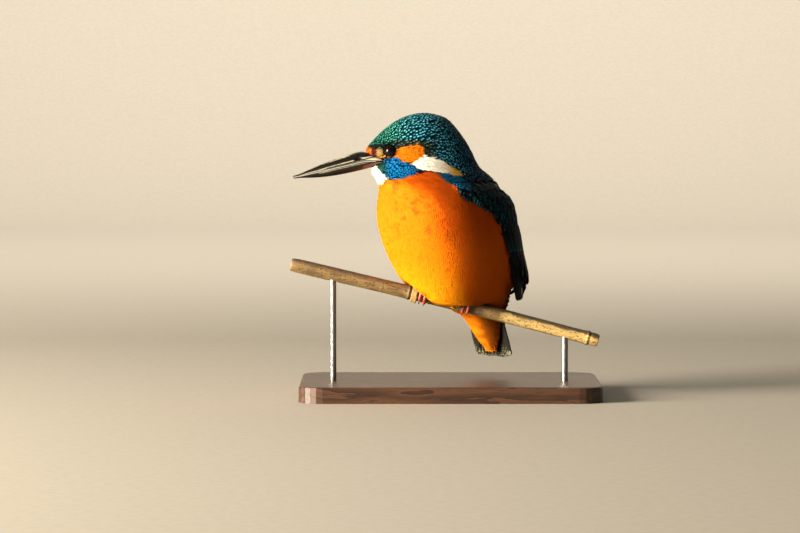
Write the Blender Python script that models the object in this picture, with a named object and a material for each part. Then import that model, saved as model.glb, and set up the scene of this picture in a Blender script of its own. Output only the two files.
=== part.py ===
"""Common kingfisher, life size, on a cut length of reed held by a plain display stand.

Blender 4.5. Scene units are metres with +Z up; the sizes below are millimetres and pass
through mm() once. The origin is the centre of the base's underside. The reed runs along X
and falls towards +X, and the bird sits across it, facing between -Y and -X.

Heights in the tables are above the reed's axis at the bird's feet. "Forward" is along the
way the breast faces, and angles round the body start there and turn to the bird's left.
"""

import math
from typing import NamedTuple

import bmesh
import bpy
from mathutils import Matrix, Vector

# ---------------------------------------------------------------- driving dimensions, mm
BASE_LENGTH, BASE_DEPTH, BASE_THICKNESS = 150.0, 92.0, 8.0
BASE_CORNER, BASE_EDGE = 12.0, 1.2

PERCH_AXIS_HEIGHT = 48.0  # reed's axis above the floor, under the bird
FEET_X, PERCH_Y = -2.75, -6.0  # where the feet's midpoint stands on the base
PERCH_RADIUS, PERCH_HALF_LENGTH = 3.5, 77.0
PERCH_SLOPE, PERCH_BOW = 0.249, 0.00013  # fall per mm, and the extra fall that bends it
PERCH_NODES = (-17.75, 71.5)  # reed joints, from the feet's midpoint
PERCH_BORE, PERCH_BORE_DEPTH = 2.0, 6.0
ROD_RADIUS, ROD_OFFSETS, ROD_SOCKET = 1.5, (-55.25, 60.75), 2.0

BODY_YAW, HEAD_TURN = 40.0, 37.0  # degrees from facing -Y, and the head's turn on the body
NECK_FORWARD = 3.8  # the neck's pivot, forward of the feet
FOOT_SPACING = 21.5
GAP = 0.35  # clearance between neighbouring solids

RING_POINTS, RINGS_PER_LEVEL = 30, 2


class Level(NamedTuple):
    """One level cut through the plumage: its size and where its centre lies."""

    height: float
    forward: float  # centre, along the breast's facing
    reach: float  # centre's further shift along the bill's facing
    turn: float  # share of the head's turn, 0 to 1
    front: float
    back: float
    half_width: float
    fullness: float  # 2 is an ellipse, more is squarer
    pinch: float  # how much narrower the front grows towards the bill


BODY_LEVELS = (
    Level(94.0, 3.8, 8.6, 1.0, 2.2, 2.6, 1.6, 2.0, 0.0),  # crown's top
    Level(92.0, 3.8, 8.4, 1.0, 10.2, 10.8, 6.6, 2.0, 0.0),
    Level(87.5, 3.8, 9.2, 1.0, 17.2, 16.6, 11.2, 2.0, 0.2),  # crown
    Level(80.5, 3.8, 10.4, 1.0, 23.8, 23.2, 13.6, 2.1, 0.42),  # brow
    Level(73.5, 3.8, 11.0, 1.0, 28.4, 27.8, 15.0, 2.15, 0.5),  # eye and ear coverts
    Level(66.5, 3.8, 8.2, 0.95, 28.6, 28.6, 17.2, 2.2, 0.42),  # cheek and chin
    Level(59.5, 4.2, 1.8, 0.5, 31.2, 32.2, 23.2, 2.25, 0.2),  # throat and nape
    Level(51.0, 2.2, 0.0, 0.0, 32.6, 31.4, 29.8, 2.35, 0.0),  # upper breast, mantle
    Level(39.0, 0.0, 0.0, 0.0, 33.2, 31.2, 31.4, 2.4, 0.0),  # breast
    Level(25.0, -4.5, 0.0, 0.0, 31.8, 32.0, 30.8, 2.35, 0.0),  # belly
    Level(11.5, -9.6, 0.0, 0.0, 29.4, 28.6, 26.8, 2.3, 0.0),
    Level(3.0, -13.2, 0.0, 0.0, 26.0, 27.0, 21.6, 2.25, 0.0),  # vent
    Level(-1.6, -17.0, 0.0, 0.0, 24.4, 24.6, 18.6, 2.2, 0.0),
    Level(-5.0, -25.5, 0.0, 0.0, 14.0, 14.6, 14.4, 2.15, 0.0),
    Level(-10.5, -31.0, 0.0, 0.0, 9.8, 9.6, 12.2, 2.1, 0.0),  # tail coverts
    Level(-19.5, -34.8, 0.0, 0.0, 7.0, 5.8, 9.0, 2.0, 0.0),
    Level(-28.0, -38.8, 0.0, 0.0, 2.6, 2.2, 3.8, 2.0, 0.0),
)

# The folded wing lies on the body down to the belly and on these forms below it.
UPPER_FORM = tuple(level for level in BODY_LEVELS if level.height >= 25.0)
WING_FORM = (
    *UPPER_FORM,
    Level(11.5, -9.0, 0.0, 0.0, 31.0, 35.6, 31.2, 2.3, 0.0),
    Level(-3.5, -14.0, 0.0, 0.0, 30.0, 36.0, 30.0, 2.3, 0.0),
)
PRIMARY_FORM = (
    *UPPER_FORM,
    Level(11.5, -9.6, 0.0, 0.0, 30.0, 30.2, 28.0, 2.3, 0.0),
    Level(-3.5, -14.5, 0.0, 0.0, 27.0, 31.0, 25.0, 2.3, 0.0),
)


class WingRow(NamedTuple):
    """One level cut through a folded wing, as the arc that it covers on the body."""

    height: float
    start: float  # degrees from the breast to the lower, leading edge
    end: float  # degrees from the breast to the upper, back edge
    thickness: float


WING_ROWS = (
    WingRow(60.0, 88.0, 102.0, 0.8),  # shoulder
    WingRow(56.0, 79.0, 128.0, 1.9),
    WingRow(48.0, 90.0, 146.0, 2.6),
    WingRow(38.0, 98.0, 158.0, 2.5),
    WingRow(26.0, 100.0, 166.0, 2.3),
    WingRow(17.0, 120.0, 167.0, 2.0),
    WingRow(9.5, 135.0, 165.0, 1.5),
    WingRow(6.0, 146.0, 160.0, 0.8),  # tip of the inner flight feathers
)
PRIMARY_ROWS = (
    WingRow(22.0, 102.0, 106.5, 0.9),
    WingRow(17.0, 102.5, 116.0, 1.5),
    WingRow(9.5, 105.0, 131.0, 1.5),
    WingRow(3.5, 107.0, 148.0, 1.3),
    WingRow(-0.8, 112.0, 152.0, 0.7),  # tips of the outer flight feathers
)
WING_ARC_STEPS, WING_RINGS_PER_ROW = 7, 2
WING_BED = 0.8  # clearance between a wing and the body that it lies on
WING_PADDING = 0.5  # share of the hollow under a wing that its small feathers fill

EYE_RADIUS, EYE_SHOWN_RADIUS = 3.1, 2.4
EYE_HEIGHT, EYE_FORWARD = 75.4, 16.7  # forward of the head's centre

BILL_LENGTH, BILL_DROP = 36.8, 13.5  # from the brow feathers, and degrees below level
BILL_BASE_HEIGHT, BILL_BASE_FORWARD = 70.9, 38.8  # forward of the neck's pivot
BILL_BURIED = 9.0  # how far it runs back to the corners of the mouth
BILL_BED = 0.6  # clearance round it in the face
CULMEN_RISE, GONYS_DROP, MOUTH_DROP, BILL_HALF_WIDTH = 4.35, 4.8, 0.9, 4.1
MOUTH_HALF_WIDTH = 8.2

TAIL_ROOT, TAIL_TIP = (-28.5, 2.0), (-40.8, -30.6)  # forward, height
TAIL_FEATHERS, TAIL_HALF_WIDTH, TAIL_THICKNESS = 12, 11.6, 1.2
TAIL_BLADE_STEPS, TAIL_ROOT_SHARE = 3, 0.98


class Toe(NamedTuple):
    """A toe round the reed: where it lies along it, how thick, and the arc it grips."""

    name: str
    along: float
    radius: float
    start: float  # degrees from the reed's top, forward
    end: float
    claw: float


TOES = (
    Toe("inner", -3.3, 0.75, -8.0, 104.0, 30.0),
    Toe("middle", -1.2, 1.0, -12.0, 140.0, 34.0),
    Toe("outer", 1.2, 1.0, -10.0, 128.0, 34.0),
    Toe("hind", -0.8, 0.9, -42.0, -116.0, 30.0),
)
SHANK_RADIUS, SHANK_LENGTH = 1.2, 8.0


# ------------------------------------------------------------------------- small helpers
def mm(*values):
    """A length, or a point, in metres."""
    return values[0] * 0.001 if len(values) == 1 else Vector(values) * 0.001


def clear_scene():
    for obj in list(bpy.data.objects):
        bpy.data.objects.remove(obj, do_unlink=True)


def new_collection(name, hidden=False):
    collection = bpy.data.collections.new(name)
    collection.hide_render = hidden
    bpy.context.scene.collection.children.link(collection)
    return collection


def material(name, colour, roughness, metallic=0.0):
    """A plain finish. The colour is linear red, green and blue."""
    made = bpy.data.materials.new(name)
    made.use_nodes = True
    shader = made.node_tree.nodes["Principled BSDF"]
    shader.inputs["Base Color"].default_value = (*colour, 1.0)
    shader.inputs["Roughness"].default_value = roughness
    shader.inputs["Metallic"].default_value = metallic
    return made


def add_object(name, bm, finish, collection):
    """Turns a bmesh in metres into a named object and frees it."""
    bmesh.ops.recalc_face_normals(bm, faces=bm.faces)
    mesh = bpy.data.meshes.new(name)
    bm.to_mesh(mesh)
    bm.free()
    if finish:
        mesh.materials.append(finish)
    mesh.shade_smooth()
    mesh.set_sharp_from_angle(angle=math.radians(40))
    obj = bpy.data.objects.new(name, mesh)
    collection.objects.link(obj)
    return obj


def add_cutter(name, bm, collection):
    cutter = add_object(name, bm, None, collection)
    cutter.hide_render = True
    cutter.display_type = "WIRE"
    return cutter


def cut_away(obj, cutter):
    modifier = obj.modifiers.new(f"cut {cutter.name}", "BOOLEAN")
    modifier.operation = "DIFFERENCE"
    modifier.solver = "EXACT"
    modifier.object = cutter


def apply_modifiers(obj):
    """Replaces the object's mesh by its evaluated one."""
    graph = bpy.context.evaluated_depsgraph_get()
    mesh = bpy.data.meshes.new_from_object(obj.evaluated_get(graph))
    obj.modifiers.clear()
    obj.data = mesh


def lerp(a, b, share):
    return a + (b - a) * share


def through(knots, place):
    """A smooth curve through evenly numbered knots (tuples), read at a fractional place."""
    last = len(knots) - 1
    i = min(int(place), last - 1)
    u = place - i
    before, start, end, after = (knots[min(max(i + k, 0), last)] for k in (-1, 0, 1, 2))
    values = []
    for p, a, b, q in zip(before, start, end, after):
        slope_a, slope_b = (b - p) / 2, (q - a) / 2
        values.append(
            a * (2 * u**3 - 3 * u**2 + 1)
            + slope_a * (u**3 - 2 * u**2 + u)
            + b * (3 * u**2 - 2 * u**3)
            + slope_b * (u**3 - u**2)
        )
    return values


def samples(knots, steps):
    """The curve through the knots, read at steps places per knot, as their own type."""
    kind = type(knots[0])
    count = (len(knots) - 1) * steps
    return [kind(*through(knots, k / steps)) for k in range(count + 1)]


def at_height(levels, height):
    """The level at a height, found by halving along the curve through the levels."""
    low, high = 0.0, float(len(levels) - 1)
    for _ in range(30):
        middle = (low + high) / 2
        if through(levels, middle)[0] > height:
            low = middle
        else:
            high = middle
    return Level(*through(levels, low))


def loft(rings):
    """A closed solid through rings of points in metres, all with the same count."""
    bm = bmesh.new()
    rows = [[bm.verts.new(point) for point in ring] for ring in rings]
    count = len(rows[0])
    for row, following in zip(rows, rows[1:]):
        for i in range(count):
            j = (i + 1) % count
            bm.faces.new((row[i], row[j], following[j], following[i]))
    for row in (rows[0], rows[-1]):
        bm.faces.new(row)
    bmesh.ops.recalc_face_normals(bm, faces=bm.faces)
    return bm


def cylinder(start, end, radius, sides):
    """A bmesh cylinder between two points in metres."""
    axis = end - start
    bm = bmesh.new()
    turn = axis.to_track_quat("Z", "Y").to_matrix().to_4x4()
    bmesh.ops.create_cone(
        bm,
        cap_ends=True,
        segments=sides,
        radius1=radius,
        radius2=radius,
        depth=axis.length,
        matrix=Matrix.Translation((start + end) / 2) @ turn,
    )
    return bm


def kept_side(obj, point, normal, name, collection):
    """A new object: the part of obj on the side that the normal points away from."""
    bm = bmesh.new()
    bm.from_mesh(obj.data)
    cut = bmesh.ops.bisect_plane(
        bm,
        geom=bm.verts[:] + bm.edges[:] + bm.faces[:],
        plane_co=point,
        plane_no=normal,
        clear_outer=True,
    )
    edges = [e for e in cut["geom_cut"] if isinstance(e, bmesh.types.BMEdge)]
    bmesh.ops.contextual_create(bm, geom=edges)
    return add_object(name, bm, obj.data.materials[0], collection)


def part_by_plane(obj, point, normal, names, collection):
    """Parts obj by a thin cut into the piece the normal points away from and the other."""
    half_cut = normal.normalized() * mm(GAP / 2)
    behind = kept_side(obj, point - half_cut, normal, names[0], collection)
    ahead = kept_side(obj, point + half_cut, -normal, names[1], collection)
    bpy.data.objects.remove(obj, do_unlink=True)
    return behind, ahead


# ------------------------------------------------------------------------ bird's own axes
def facing(turn_share):
    """Forward and left, level, where 0 is the breast's facing and 1 is the bill's."""
    yaw = math.radians(BODY_YAW + HEAD_TURN * turn_share)
    return (
        Vector((-math.sin(yaw), -math.cos(yaw), 0.0)),
        Vector((math.cos(yaw), -math.sin(yaw), 0.0)),
    )


def bird(forward, left, height):
    """A point in metres from the breast's axes at the feet, in millimetres."""
    ahead, side = facing(0.0)
    flat = ahead * forward + side * left
    return mm(FEET_X + flat.x, PERCH_Y + flat.y, PERCH_AXIS_HEIGHT + height)


def bird_direction(forward, left, height):
    ahead, side = facing(0.0)
    return (ahead * forward + side * left + Vector((0, 0, height))).normalized()


def head(forward, left, height):
    """A point in metres from the head's axes over the neck's pivot, in millimetres."""
    ahead, side = facing(1.0)
    return bird(NECK_FORWARD, 0.0, height) + (ahead * forward + side * left) * 0.001


def power(value, exponent):
    return math.copysign(abs(value) ** exponent, value)


def outline(level, angle, lift=0.0):
    """The point of a level's outline at an angle in degrees, moved outwards by lift."""
    turn = math.radians(angle)
    grip = 2.0 / level.fullness
    ahead, side = facing(level.turn)
    length = level.front if math.cos(turn) > 0 else level.back
    along = power(math.cos(turn), grip)
    across = power(math.sin(turn), grip) * (1 - level.pinch * max(0.0, along) ** 1.5)
    flat = ahead * (along * length) + side * (across * level.half_width)
    flat *= 1 + lift / max(flat.length, 1e-6)
    bill_ahead, _ = facing(1.0)
    centre = bird(level.forward, 0.0, level.height) + bill_ahead * mm(level.reach)
    return centre + flat * 0.001


# -------------------------------------------------------------------------------- plumage
def plumage(finish, collection):
    """Head, body and tail coverts as one closed form."""
    rings = [
        [outline(level, 360.0 * k / RING_POINTS) for k in range(RING_POINTS)]
        for level in samples(BODY_LEVELS, RINGS_PER_LEVEL)
    ]
    return add_object("plumage", loft(rings), finish, collection)


def eye_place(side):
    """The centre of an eye, set into the head; side is 1 for left and -1 for right."""
    level = at_height(BODY_LEVELS, EYE_HEIGHT)
    ahead, left = facing(1.0)
    centre = head(level.reach, 0.0, EYE_HEIGHT)
    angle = 0.0
    while (outline(level, angle * side) - centre).dot(ahead) > mm(EYE_FORWARD):
        angle += 0.25
    surface = outline(level, angle * side)
    outward = (left * side + ahead * 0.42 + Vector((0, 0, 0.1))).normalized()
    depth = math.sqrt(EYE_RADIUS**2 - EYE_SHOWN_RADIUS**2)
    return surface - outward * mm(depth)


def sphere(centre, radius, rings):
    bm = bmesh.new()
    bmesh.ops.create_uvsphere(
        bm,
        u_segments=2 * rings,
        v_segments=rings,
        radius=radius,
        matrix=Matrix.Translation(centre),
    )
    return bm


# ----------------------------------------------------------------------------------- bill
def bill_axes():
    """The bill's base, and its forward, left and up directions."""
    ahead, left = facing(1.0)
    drop = math.radians(BILL_DROP)
    forward = ahead * math.cos(drop) - Vector((0, 0, math.sin(drop)))
    return head(BILL_BASE_FORWARD, 0.0, BILL_BASE_HEIGHT), forward, left, forward.cross(left)


def bill_ring(along, upper, swell):
    """The outline of a mandible's cross-section; behind the base it runs level."""
    base, forward, left, up = bill_axes()
    share = max(0.0, along) / BILL_LENGTH
    culmen_fade, gonys_fade = (max(0.02, 1 - share**bend) for bend in (1.9, 2.6))
    taper = max(0.06, 1 - share) ** 0.8
    behind = max(0.0, -along) / BILL_BURIED
    half = lerp(BILL_HALF_WIDTH * taper, MOUTH_HALF_WIDTH, min(1.0, 1.2 * behind)) + swell
    mouth = -MOUTH_DROP * max(0.0, 1 - share) ** 0.5
    seam = GAP / 2 - min(swell, GAP)
    if upper:
        edge = mouth + seam
        rise = CULMEN_RISE * culmen_fade * lerp(1, 0.25, min(1.0, behind))
        ridge = max(rise + swell, edge + 0.5)
    else:
        edge = mouth - seam
        drop = GONYS_DROP * gonys_fade * lerp(1, 0.45, min(1.0, behind))
        ridge = min(-drop - swell, edge - 0.5)
    shape = ((1.0, 0.0), (0.94, 0.32), (0.66, 0.7), (0.3, 0.94), (0.0, 1.0))
    side = [(half * wide, lerp(edge, ridge, rise)) for wide, rise in shape]
    whole = side + [(-wide, rise) for wide, rise in reversed(side[:-1])]
    line = forward if along > 0 else facing(1.0)[0]
    centre = base + line * mm(along)
    return [centre + left * mm(wide) + up * mm(rise) for wide, rise in whole]


def mandible(upper, swell=0.0):
    """One half of the bill, from the corners of the mouth to the tip."""
    buried = [-(BILL_BURIED + swell) * share for share in (1.0, 0.75, 0.5, 0.25)]
    shown = [BILL_LENGTH * (k / 9) ** 0.85 for k in range(10)]
    return loft([bill_ring(along, upper, swell) for along in buried + shown])


# ---------------------------------------------------------------------------------- wings
def wing_ring(row, form, side):
    """A lens-like section that lies on the body: out along its face and back beneath."""
    level, body = at_height(form, row.height), at_height(BODY_LEVELS, row.height)
    outer, inner = [], []
    for k in range(WING_ARC_STEPS + 1):
        share = k / WING_ARC_STEPS
        angle = lerp(row.start, row.end, share) * side
        dome = math.sin(math.pi * share) ** 0.6
        rise = WING_BED + row.thickness * lerp(0.35, 1.0, dome)
        outer.append(outline(level, angle, rise))
        bed, skin = outline(level, angle, WING_BED), outline(body, angle, WING_BED)
        inner.append(bed.lerp(skin, WING_PADDING * dome))
    return outer + inner[::-1]


def wing(rows, form, side):
    return loft([wing_ring(row, form, side) for row in samples(rows, WING_RINGS_PER_ROW)])


# ----------------------------------------------------------------------------------- tail
def tail_axes():
    """The tail's root and its down-along, across and back-facing directions."""
    root = bird(TAIL_ROOT[0], 0.0, TAIL_ROOT[1])
    tip = bird(TAIL_TIP[0], 0.0, TAIL_TIP[1])
    along = (tip - root).normalized()
    _, left = facing(0.0)
    return root, (tip - root).length, along, left, left.cross(along)


def tail_fan():
    """The closed fan: twelve blades that overlap like slats and end in rounded tips."""
    root, length, along, left, back = tail_axes()
    steps = TAIL_FEATHERS * TAIL_BLADE_STEPS
    rings = []
    for far in (0.0, 0.6, 0.93, 1.0):
        half = TAIL_HALF_WIDTH * lerp(TAIL_ROOT_SHARE, 1.0, far)
        front_row, back_row = [], []
        for k in range(steps + 1):
            place = 2 * k / steps - 1
            within = k % TAIL_BLADE_STEPS / TAIL_BLADE_STEPS
            notch = mm(1.3) * (1 - math.sin(math.pi * within)) * max(0.0, far - 0.6) / 0.4
            reach = (length - mm(1.6) * place**2) * far - notch
            droop = 0.9 * TAIL_THICKNESS * place**2  # the fan's edges hang forward
            slat = 0.3 * abs(within - (place > 0))
            spot = root + along * reach + left * mm(place * half)
            front_row.append(spot - back * mm(droop + TAIL_THICKNESS / 2 - slat))
            back_row.append(spot - back * mm(droop - TAIL_THICKNESS / 2 - slat))
        rings.append(front_row + back_row[::-1])
    return loft(rings)


# ---------------------------------------------------------------------------- reed perch
def perch_point(offset, lift=0.0, front=0.0):
    """A point from the reed's axis at an offset from the feet's midpoint along X."""
    height = -PERCH_SLOPE * offset - PERCH_BOW * offset * offset
    tilt = math.atan(PERCH_SLOPE + 2 * PERCH_BOW * offset)
    return mm(
        FEET_X + offset + lift * math.sin(tilt),
        PERCH_Y - front,
        PERCH_AXIS_HEIGHT + height + lift * math.cos(tilt),
    )


def perch_radius(offset):
    joints = sum(0.4 * math.exp(-(((offset - node) / 1.3) ** 2)) for node in PERCH_NODES)
    return PERCH_RADIUS * (1 - 0.0006 * offset) + joints


def perch(finish, collection, cutters):
    sides, steps = 12, 12
    stops = {-PERCH_HALF_LENGTH + 2 * PERCH_HALF_LENGTH * k / steps for k in range(steps + 1)}
    stops |= {node + shift for node in PERCH_NODES for shift in (-1.6, 0.0, 1.6)}
    rings = []
    for offset in sorted(stops):
        radius = perch_radius(offset)
        turns = [2 * math.pi * k / sides for k in range(sides)]
        rings.append(
            [perch_point(offset, radius * math.cos(t), radius * math.sin(t)) for t in turns]
        )
    reed = add_object("perch_reed", loft(rings), finish, collection)
    for end in (-1, 1):
        mouth = perch_point(end * (PERCH_HALF_LENGTH + 1.0))
        floor = perch_point(end * (PERCH_HALF_LENGTH - PERCH_BORE_DEPTH))
        bore = cylinder(floor, mouth, mm(PERCH_BORE), 12)
        cut_away(reed, add_cutter(f"bore {end}", bore, cutters))
    return reed


def perch_sheath(finish, collection):
    """The torn stub of a leaf sheath that still clasps the reed below its joint."""
    sides, wall = 10, 0.55
    rings = []
    for along, flare in ((-0.6, 0.4), (0.9, 0.6), (2.3, 1.0)):
        offset = PERCH_NODES[0] + 1.9 + along
        inner = perch_radius(offset) + flare
        turns = [math.radians(-15.0 + 250.0 * k / sides) for k in range(sides + 1)]
        ring = [(inner + wall, t) for t in turns] + [(inner, t) for t in reversed(turns)]
        rings.append(
            [perch_point(offset, r * math.cos(t), r * math.sin(t)) for r, t in ring]
        )
    return add_object("perch_sheath", loft(rings), finish, collection)


# ----------------------------------------------------------------------------------- feet
def foot_offset(side):
    return side * FOOT_SPACING / 2


def toe_solid(side, toe):
    """A tube that follows the reed's skin, with its pad flattened against it."""
    hinge = foot_offset(side) + toe.along * side
    radius = PERCH_RADIUS + GAP + toe.radius
    rings, steps, sides = [], 6, 6
    across = perch_direction(hinge)
    for k in range(steps + 1):
        share = k / steps
        turn = math.radians(lerp(toe.start, toe.end, share))
        centre = perch_point(hinge, radius * math.cos(turn), radius * math.sin(turn))
        out = (centre - perch_point(hinge)).normalized()
        knuckle = 1 + 0.07 * math.cos(6 * math.pi * share)
        thick = mm(toe.radius * knuckle * lerp(1.0, 0.82, share))
        turns = [2 * math.pi * m / sides for m in range(sides)]
        rings.append(
            [centre + (out * math.cos(t) + across * math.sin(t)) * thick for t in turns]
        )
    return loft(rings)


def claw_solid(side, toe):
    """A curved claw that carries on round the reed from its toe."""
    hinge = foot_offset(side) + toe.along * side
    sign = math.copysign(1.0, toe.end - toe.start)
    rings, steps, sides = [], 4, 5
    across = perch_direction(hinge)
    for k in range(steps + 1):
        share = k / steps
        turn = math.radians(toe.end + sign * (6.0 + toe.claw * share))
        thick = lerp(toe.radius * 0.62, 0.25, share)
        radius = PERCH_RADIUS + GAP + lerp(toe.radius, 0.45, share**0.7) + 0.25
        centre = perch_point(hinge, radius * math.cos(turn), radius * math.sin(turn))
        out = (centre - perch_point(hinge)).normalized()
        turns = [2 * math.pi * m / sides for m in range(sides)]
        rings.append(
            [
                centre + (out * math.cos(t) + across * math.sin(t) * 0.8) * mm(thick)
                for t in turns
            ]
        )
    return loft(rings)


def perch_direction(offset):
    """The way the reed runs at an offset, towards its low end."""
    return (perch_point(offset + 0.5) - perch_point(offset - 0.5)).normalized()


def shank_ends(side):
    """The short bare leg, from above the toes up into the belly."""
    hinge = foot_offset(side) - 0.2 * side
    foot_top = PERCH_RADIUS + GAP + 2 * TOES[1].radius + GAP
    start = perch_point(hinge, foot_top + 0.15)
    return start, start + bird_direction(-0.25, 0.0, 1.0) * mm(SHANK_LENGTH)


# ---------------------------------------------------------------------------------- stand
def stand(wood, steel, collection, cutters, reed):
    bm = bmesh.new()
    size = Matrix.Diagonal((*mm(BASE_LENGTH, BASE_DEPTH, BASE_THICKNESS), 1.0))
    lifted = Matrix.Translation((0, 0, mm(BASE_THICKNESS / 2)))
    bmesh.ops.create_cube(bm, size=1.0, matrix=lifted @ size)
    upright = [e for e in bm.edges if abs(e.verts[0].co.z - e.verts[1].co.z) > 1e-6]
    bmesh.ops.bevel(
        bm,
        geom=upright,
        offset=mm(BASE_CORNER),
        segments=6,
        profile=0.5,
        affect="EDGES",
        material=-1,
    )
    rim = [e for e in bm.edges if min(v.co.z for v in e.verts) > mm(BASE_THICKNESS) - 1e-6]
    bmesh.ops.bevel(
        bm,
        geom=rim,
        offset=mm(BASE_EDGE),
        segments=2,
        profile=0.5,
        affect="EDGES",
        material=-1,
    )
    base = add_object("stand_base", bm, wood, collection)
    for name, offset in zip(("high", "low"), ROD_OFFSETS):
        top = perch_point(offset, -PERCH_RADIUS + ROD_SOCKET)
        bottom = Vector((top.x, top.y, mm(BASE_THICKNESS / 2)))
        rod = cylinder(bottom, top, mm(ROD_RADIUS), 14)
        add_object(f"stand_rod_{name}", rod, steel, collection)
        reach = Vector((0, 0, mm(GAP)))
        hole = cylinder(bottom - reach, top + reach, mm(ROD_RADIUS + GAP), 14)
        socket = add_cutter(f"rod hole {name}", hole, cutters)
        cut_away(base, socket)
        cut_away(reed, socket)


# ------------------------------------------------------------------------------- assembly
def build_feet(red, dark, collection):
    """Shanks, toes and claws."""
    for side, name in ((1, "left"), (-1, "right")):
        start, end = shank_ends(side)
        shank = cylinder(start, end, mm(SHANK_RADIUS), 10)
        add_object(f"shank_{name}", shank, red, collection)
        for toe in TOES:
            add_object(f"toe_{name}_{toe.name}", toe_solid(side, toe), red, collection)
            add_object(f"claw_{name}_{toe.name}", claw_solid(side, toe), dark, collection)


def rooms_in_plumage(cutters):
    """The cutters that keep the plumage off the reed, its sheath and the feet."""
    clear = PERCH_RADIUS + 0.7 + GAP
    sheath = PERCH_RADIUS + 1.6 + GAP
    grip = PERCH_RADIUS + 2 * TOES[1].radius + 3 * GAP
    clasp, reach = PERCH_NODES[0], 3.7
    right, left = (foot_offset(side) - 1.0 * side for side in (-1, 1))
    spans = (
        (-45.0, clasp, clear),
        (clasp, right - reach, sheath),
        (right - reach, right + reach, grip),
        (right + reach, left - reach, clear),
        (left - reach, left + reach, grip),
        (left + reach, 47.0, clear),
    )
    rings = []
    for start, end, radius in spans:
        for offset in (start + 0.05, end - 0.05):
            turns = [2 * math.pi * k / 18 for k in range(18)]
            rings.append(
                [perch_point(offset, radius * math.cos(t), radius * math.sin(t)) for t in turns]
            )
    rooms = [add_cutter("reed and feet room", loft(rings), cutters)]
    for side, name in ((1, "left"), (-1, "right")):
        start, end = shank_ends(side)
        rise = (end - start).normalized() * mm(GAP)
        shaft = cylinder(start - 3 * rise, end + rise, mm(SHANK_RADIUS + GAP), 10)
        rooms.append(add_cutter(f"shank room {name}", shaft, cutters))
    return rooms


def build_head_parts(form, horn, eye, collection, cutters):
    """Bill and eyes, with their beds cut in the plumage."""
    for upper, name in ((True, "upper"), (False, "lower")):
        add_object(f"bill_{name}", mandible(upper), horn, collection)
        bed = add_cutter(f"bill bed {name}", mandible(upper, BILL_BED), cutters)
        cut_away(form, bed)
    for side, name in ((1, "left"), (-1, "right")):
        place = eye_place(side)
        add_object(f"eye_{name}", sphere(place, mm(EYE_RADIUS), 8), eye, collection)
        socket = sphere(place, mm(EYE_RADIUS + 1.4 * GAP), 8)
        cut_away(form, add_cutter(f"eye socket {name}", socket, cutters))


def part_body(form, collection):
    """Parts the plumage by thin cuts into the pieces a birdwatcher would name."""
    bill_ahead, _ = facing(1.0)
    chin_line = bill_ahead * 0.17 + Vector((0, 0, 1))
    below, _ = part_by_plane(form, head(10, 0, 68), chin_line, ("below", "head"), collection)
    collar = bird_direction(0.06, 0.0, 1.0)
    trunk, _ = part_by_plane(below, bird(0, 0, 57.5), collar, ("trunk", "neck"), collection)
    root, _, down, _, tail_back = tail_axes()
    body, coverts = part_by_plane(trunk, root, down, ("body", "coverts"), collection)
    backwards = bird_direction(-0.955, 0.0, 0.297)
    flank = bird(-13.0, 0.0, 48.0)
    front, back = part_by_plane(body, flank, backwards, ("front", "back"), collection)
    waist = bird_direction(0.12, 0.0, -1.0)
    part_by_plane(front, bird(0, 0, 27), waist, ("breast", "belly"), collection)
    part_by_plane(back, bird(-30, 0, 27), waist, ("mantle", "rump"), collection)
    fore = root - tail_back * mm(1.6 * TAIL_THICKNESS + GAP)
    aft = root + tail_back * mm(0.8 * TAIL_THICKNESS + GAP)
    kept_side(coverts, fore, tail_back, "undertail_coverts", collection)
    kept_side(coverts, aft, -tail_back, "uppertail_coverts", collection)
    bpy.data.objects.remove(coverts, do_unlink=True)


def main():
    clear_scene()
    parts = new_collection("kingfisher")
    cutters = new_collection("cutters", hidden=True)
    orange = material("orange plumage", (0.72, 0.20, 0.02), 0.8)
    teal = material("blue-green plumage", (0.01, 0.10, 0.14), 0.45)
    horn = material("black horn", (0.02, 0.018, 0.016), 0.25)
    eye = material("eye", (0.006, 0.004, 0.003), 0.05)
    red = material("coral skin", (0.55, 0.06, 0.03), 0.5)
    claw = material("dark claw", (0.03, 0.02, 0.018), 0.35)
    reed_finish = material("dry reed", (0.36, 0.25, 0.11), 0.6)
    wood = material("oiled walnut", (0.09, 0.045, 0.02), 0.45)
    steel = material("brushed steel", (0.55, 0.55, 0.56), 0.3, 1.0)

    form = plumage(orange, parts)
    build_head_parts(form, horn, eye, parts, cutters)
    build_feet(red, claw, parts)
    for room in rooms_in_plumage(cutters):
        cut_away(form, room)
    apply_modifiers(form)
    part_body(form, parts)
    add_object("tail", tail_fan(), teal, parts)
    for side, name in ((1, "left"), (-1, "right")):
        add_object(f"wing_{name}", wing(WING_ROWS, WING_FORM, side), teal, parts)
        outer_feathers = wing(PRIMARY_ROWS, PRIMARY_FORM, side)
        add_object(f"primaries_{name}", outer_feathers, teal, parts)
    reed = perch(reed_finish, parts, cutters)
    perch_sheath(reed_finish, parts)
    stand(wood, steel, parts, cutters, reed)


main()
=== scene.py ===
"""The looks of a common kingfisher perched on a cut reed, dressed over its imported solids.

The bird's flesh becomes one skin that lies inside the solids by the depth of the coat, and
closed, leaf-like vanes of many sizes cover it along the lie of the plumage. Bill, eyes,
feet and reed are finer copies of their own solids. Lengths are millimetres in the sizes and
metres in the meshes. "Forward" is the way the breast or the bill faces, heights are above
the reed's axis under the feet, and angles start in front and turn to the bird's left.
"""

import logging
import math
from dataclasses import dataclass, field
from enum import Enum
from functools import lru_cache
from typing import Any, Sequence

import bmesh
import bpy
import numpy as np
from mathutils import Matrix, Vector
from mathutils.bvhtree import BVHTree
from mathutils.kdtree import KDTree


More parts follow.
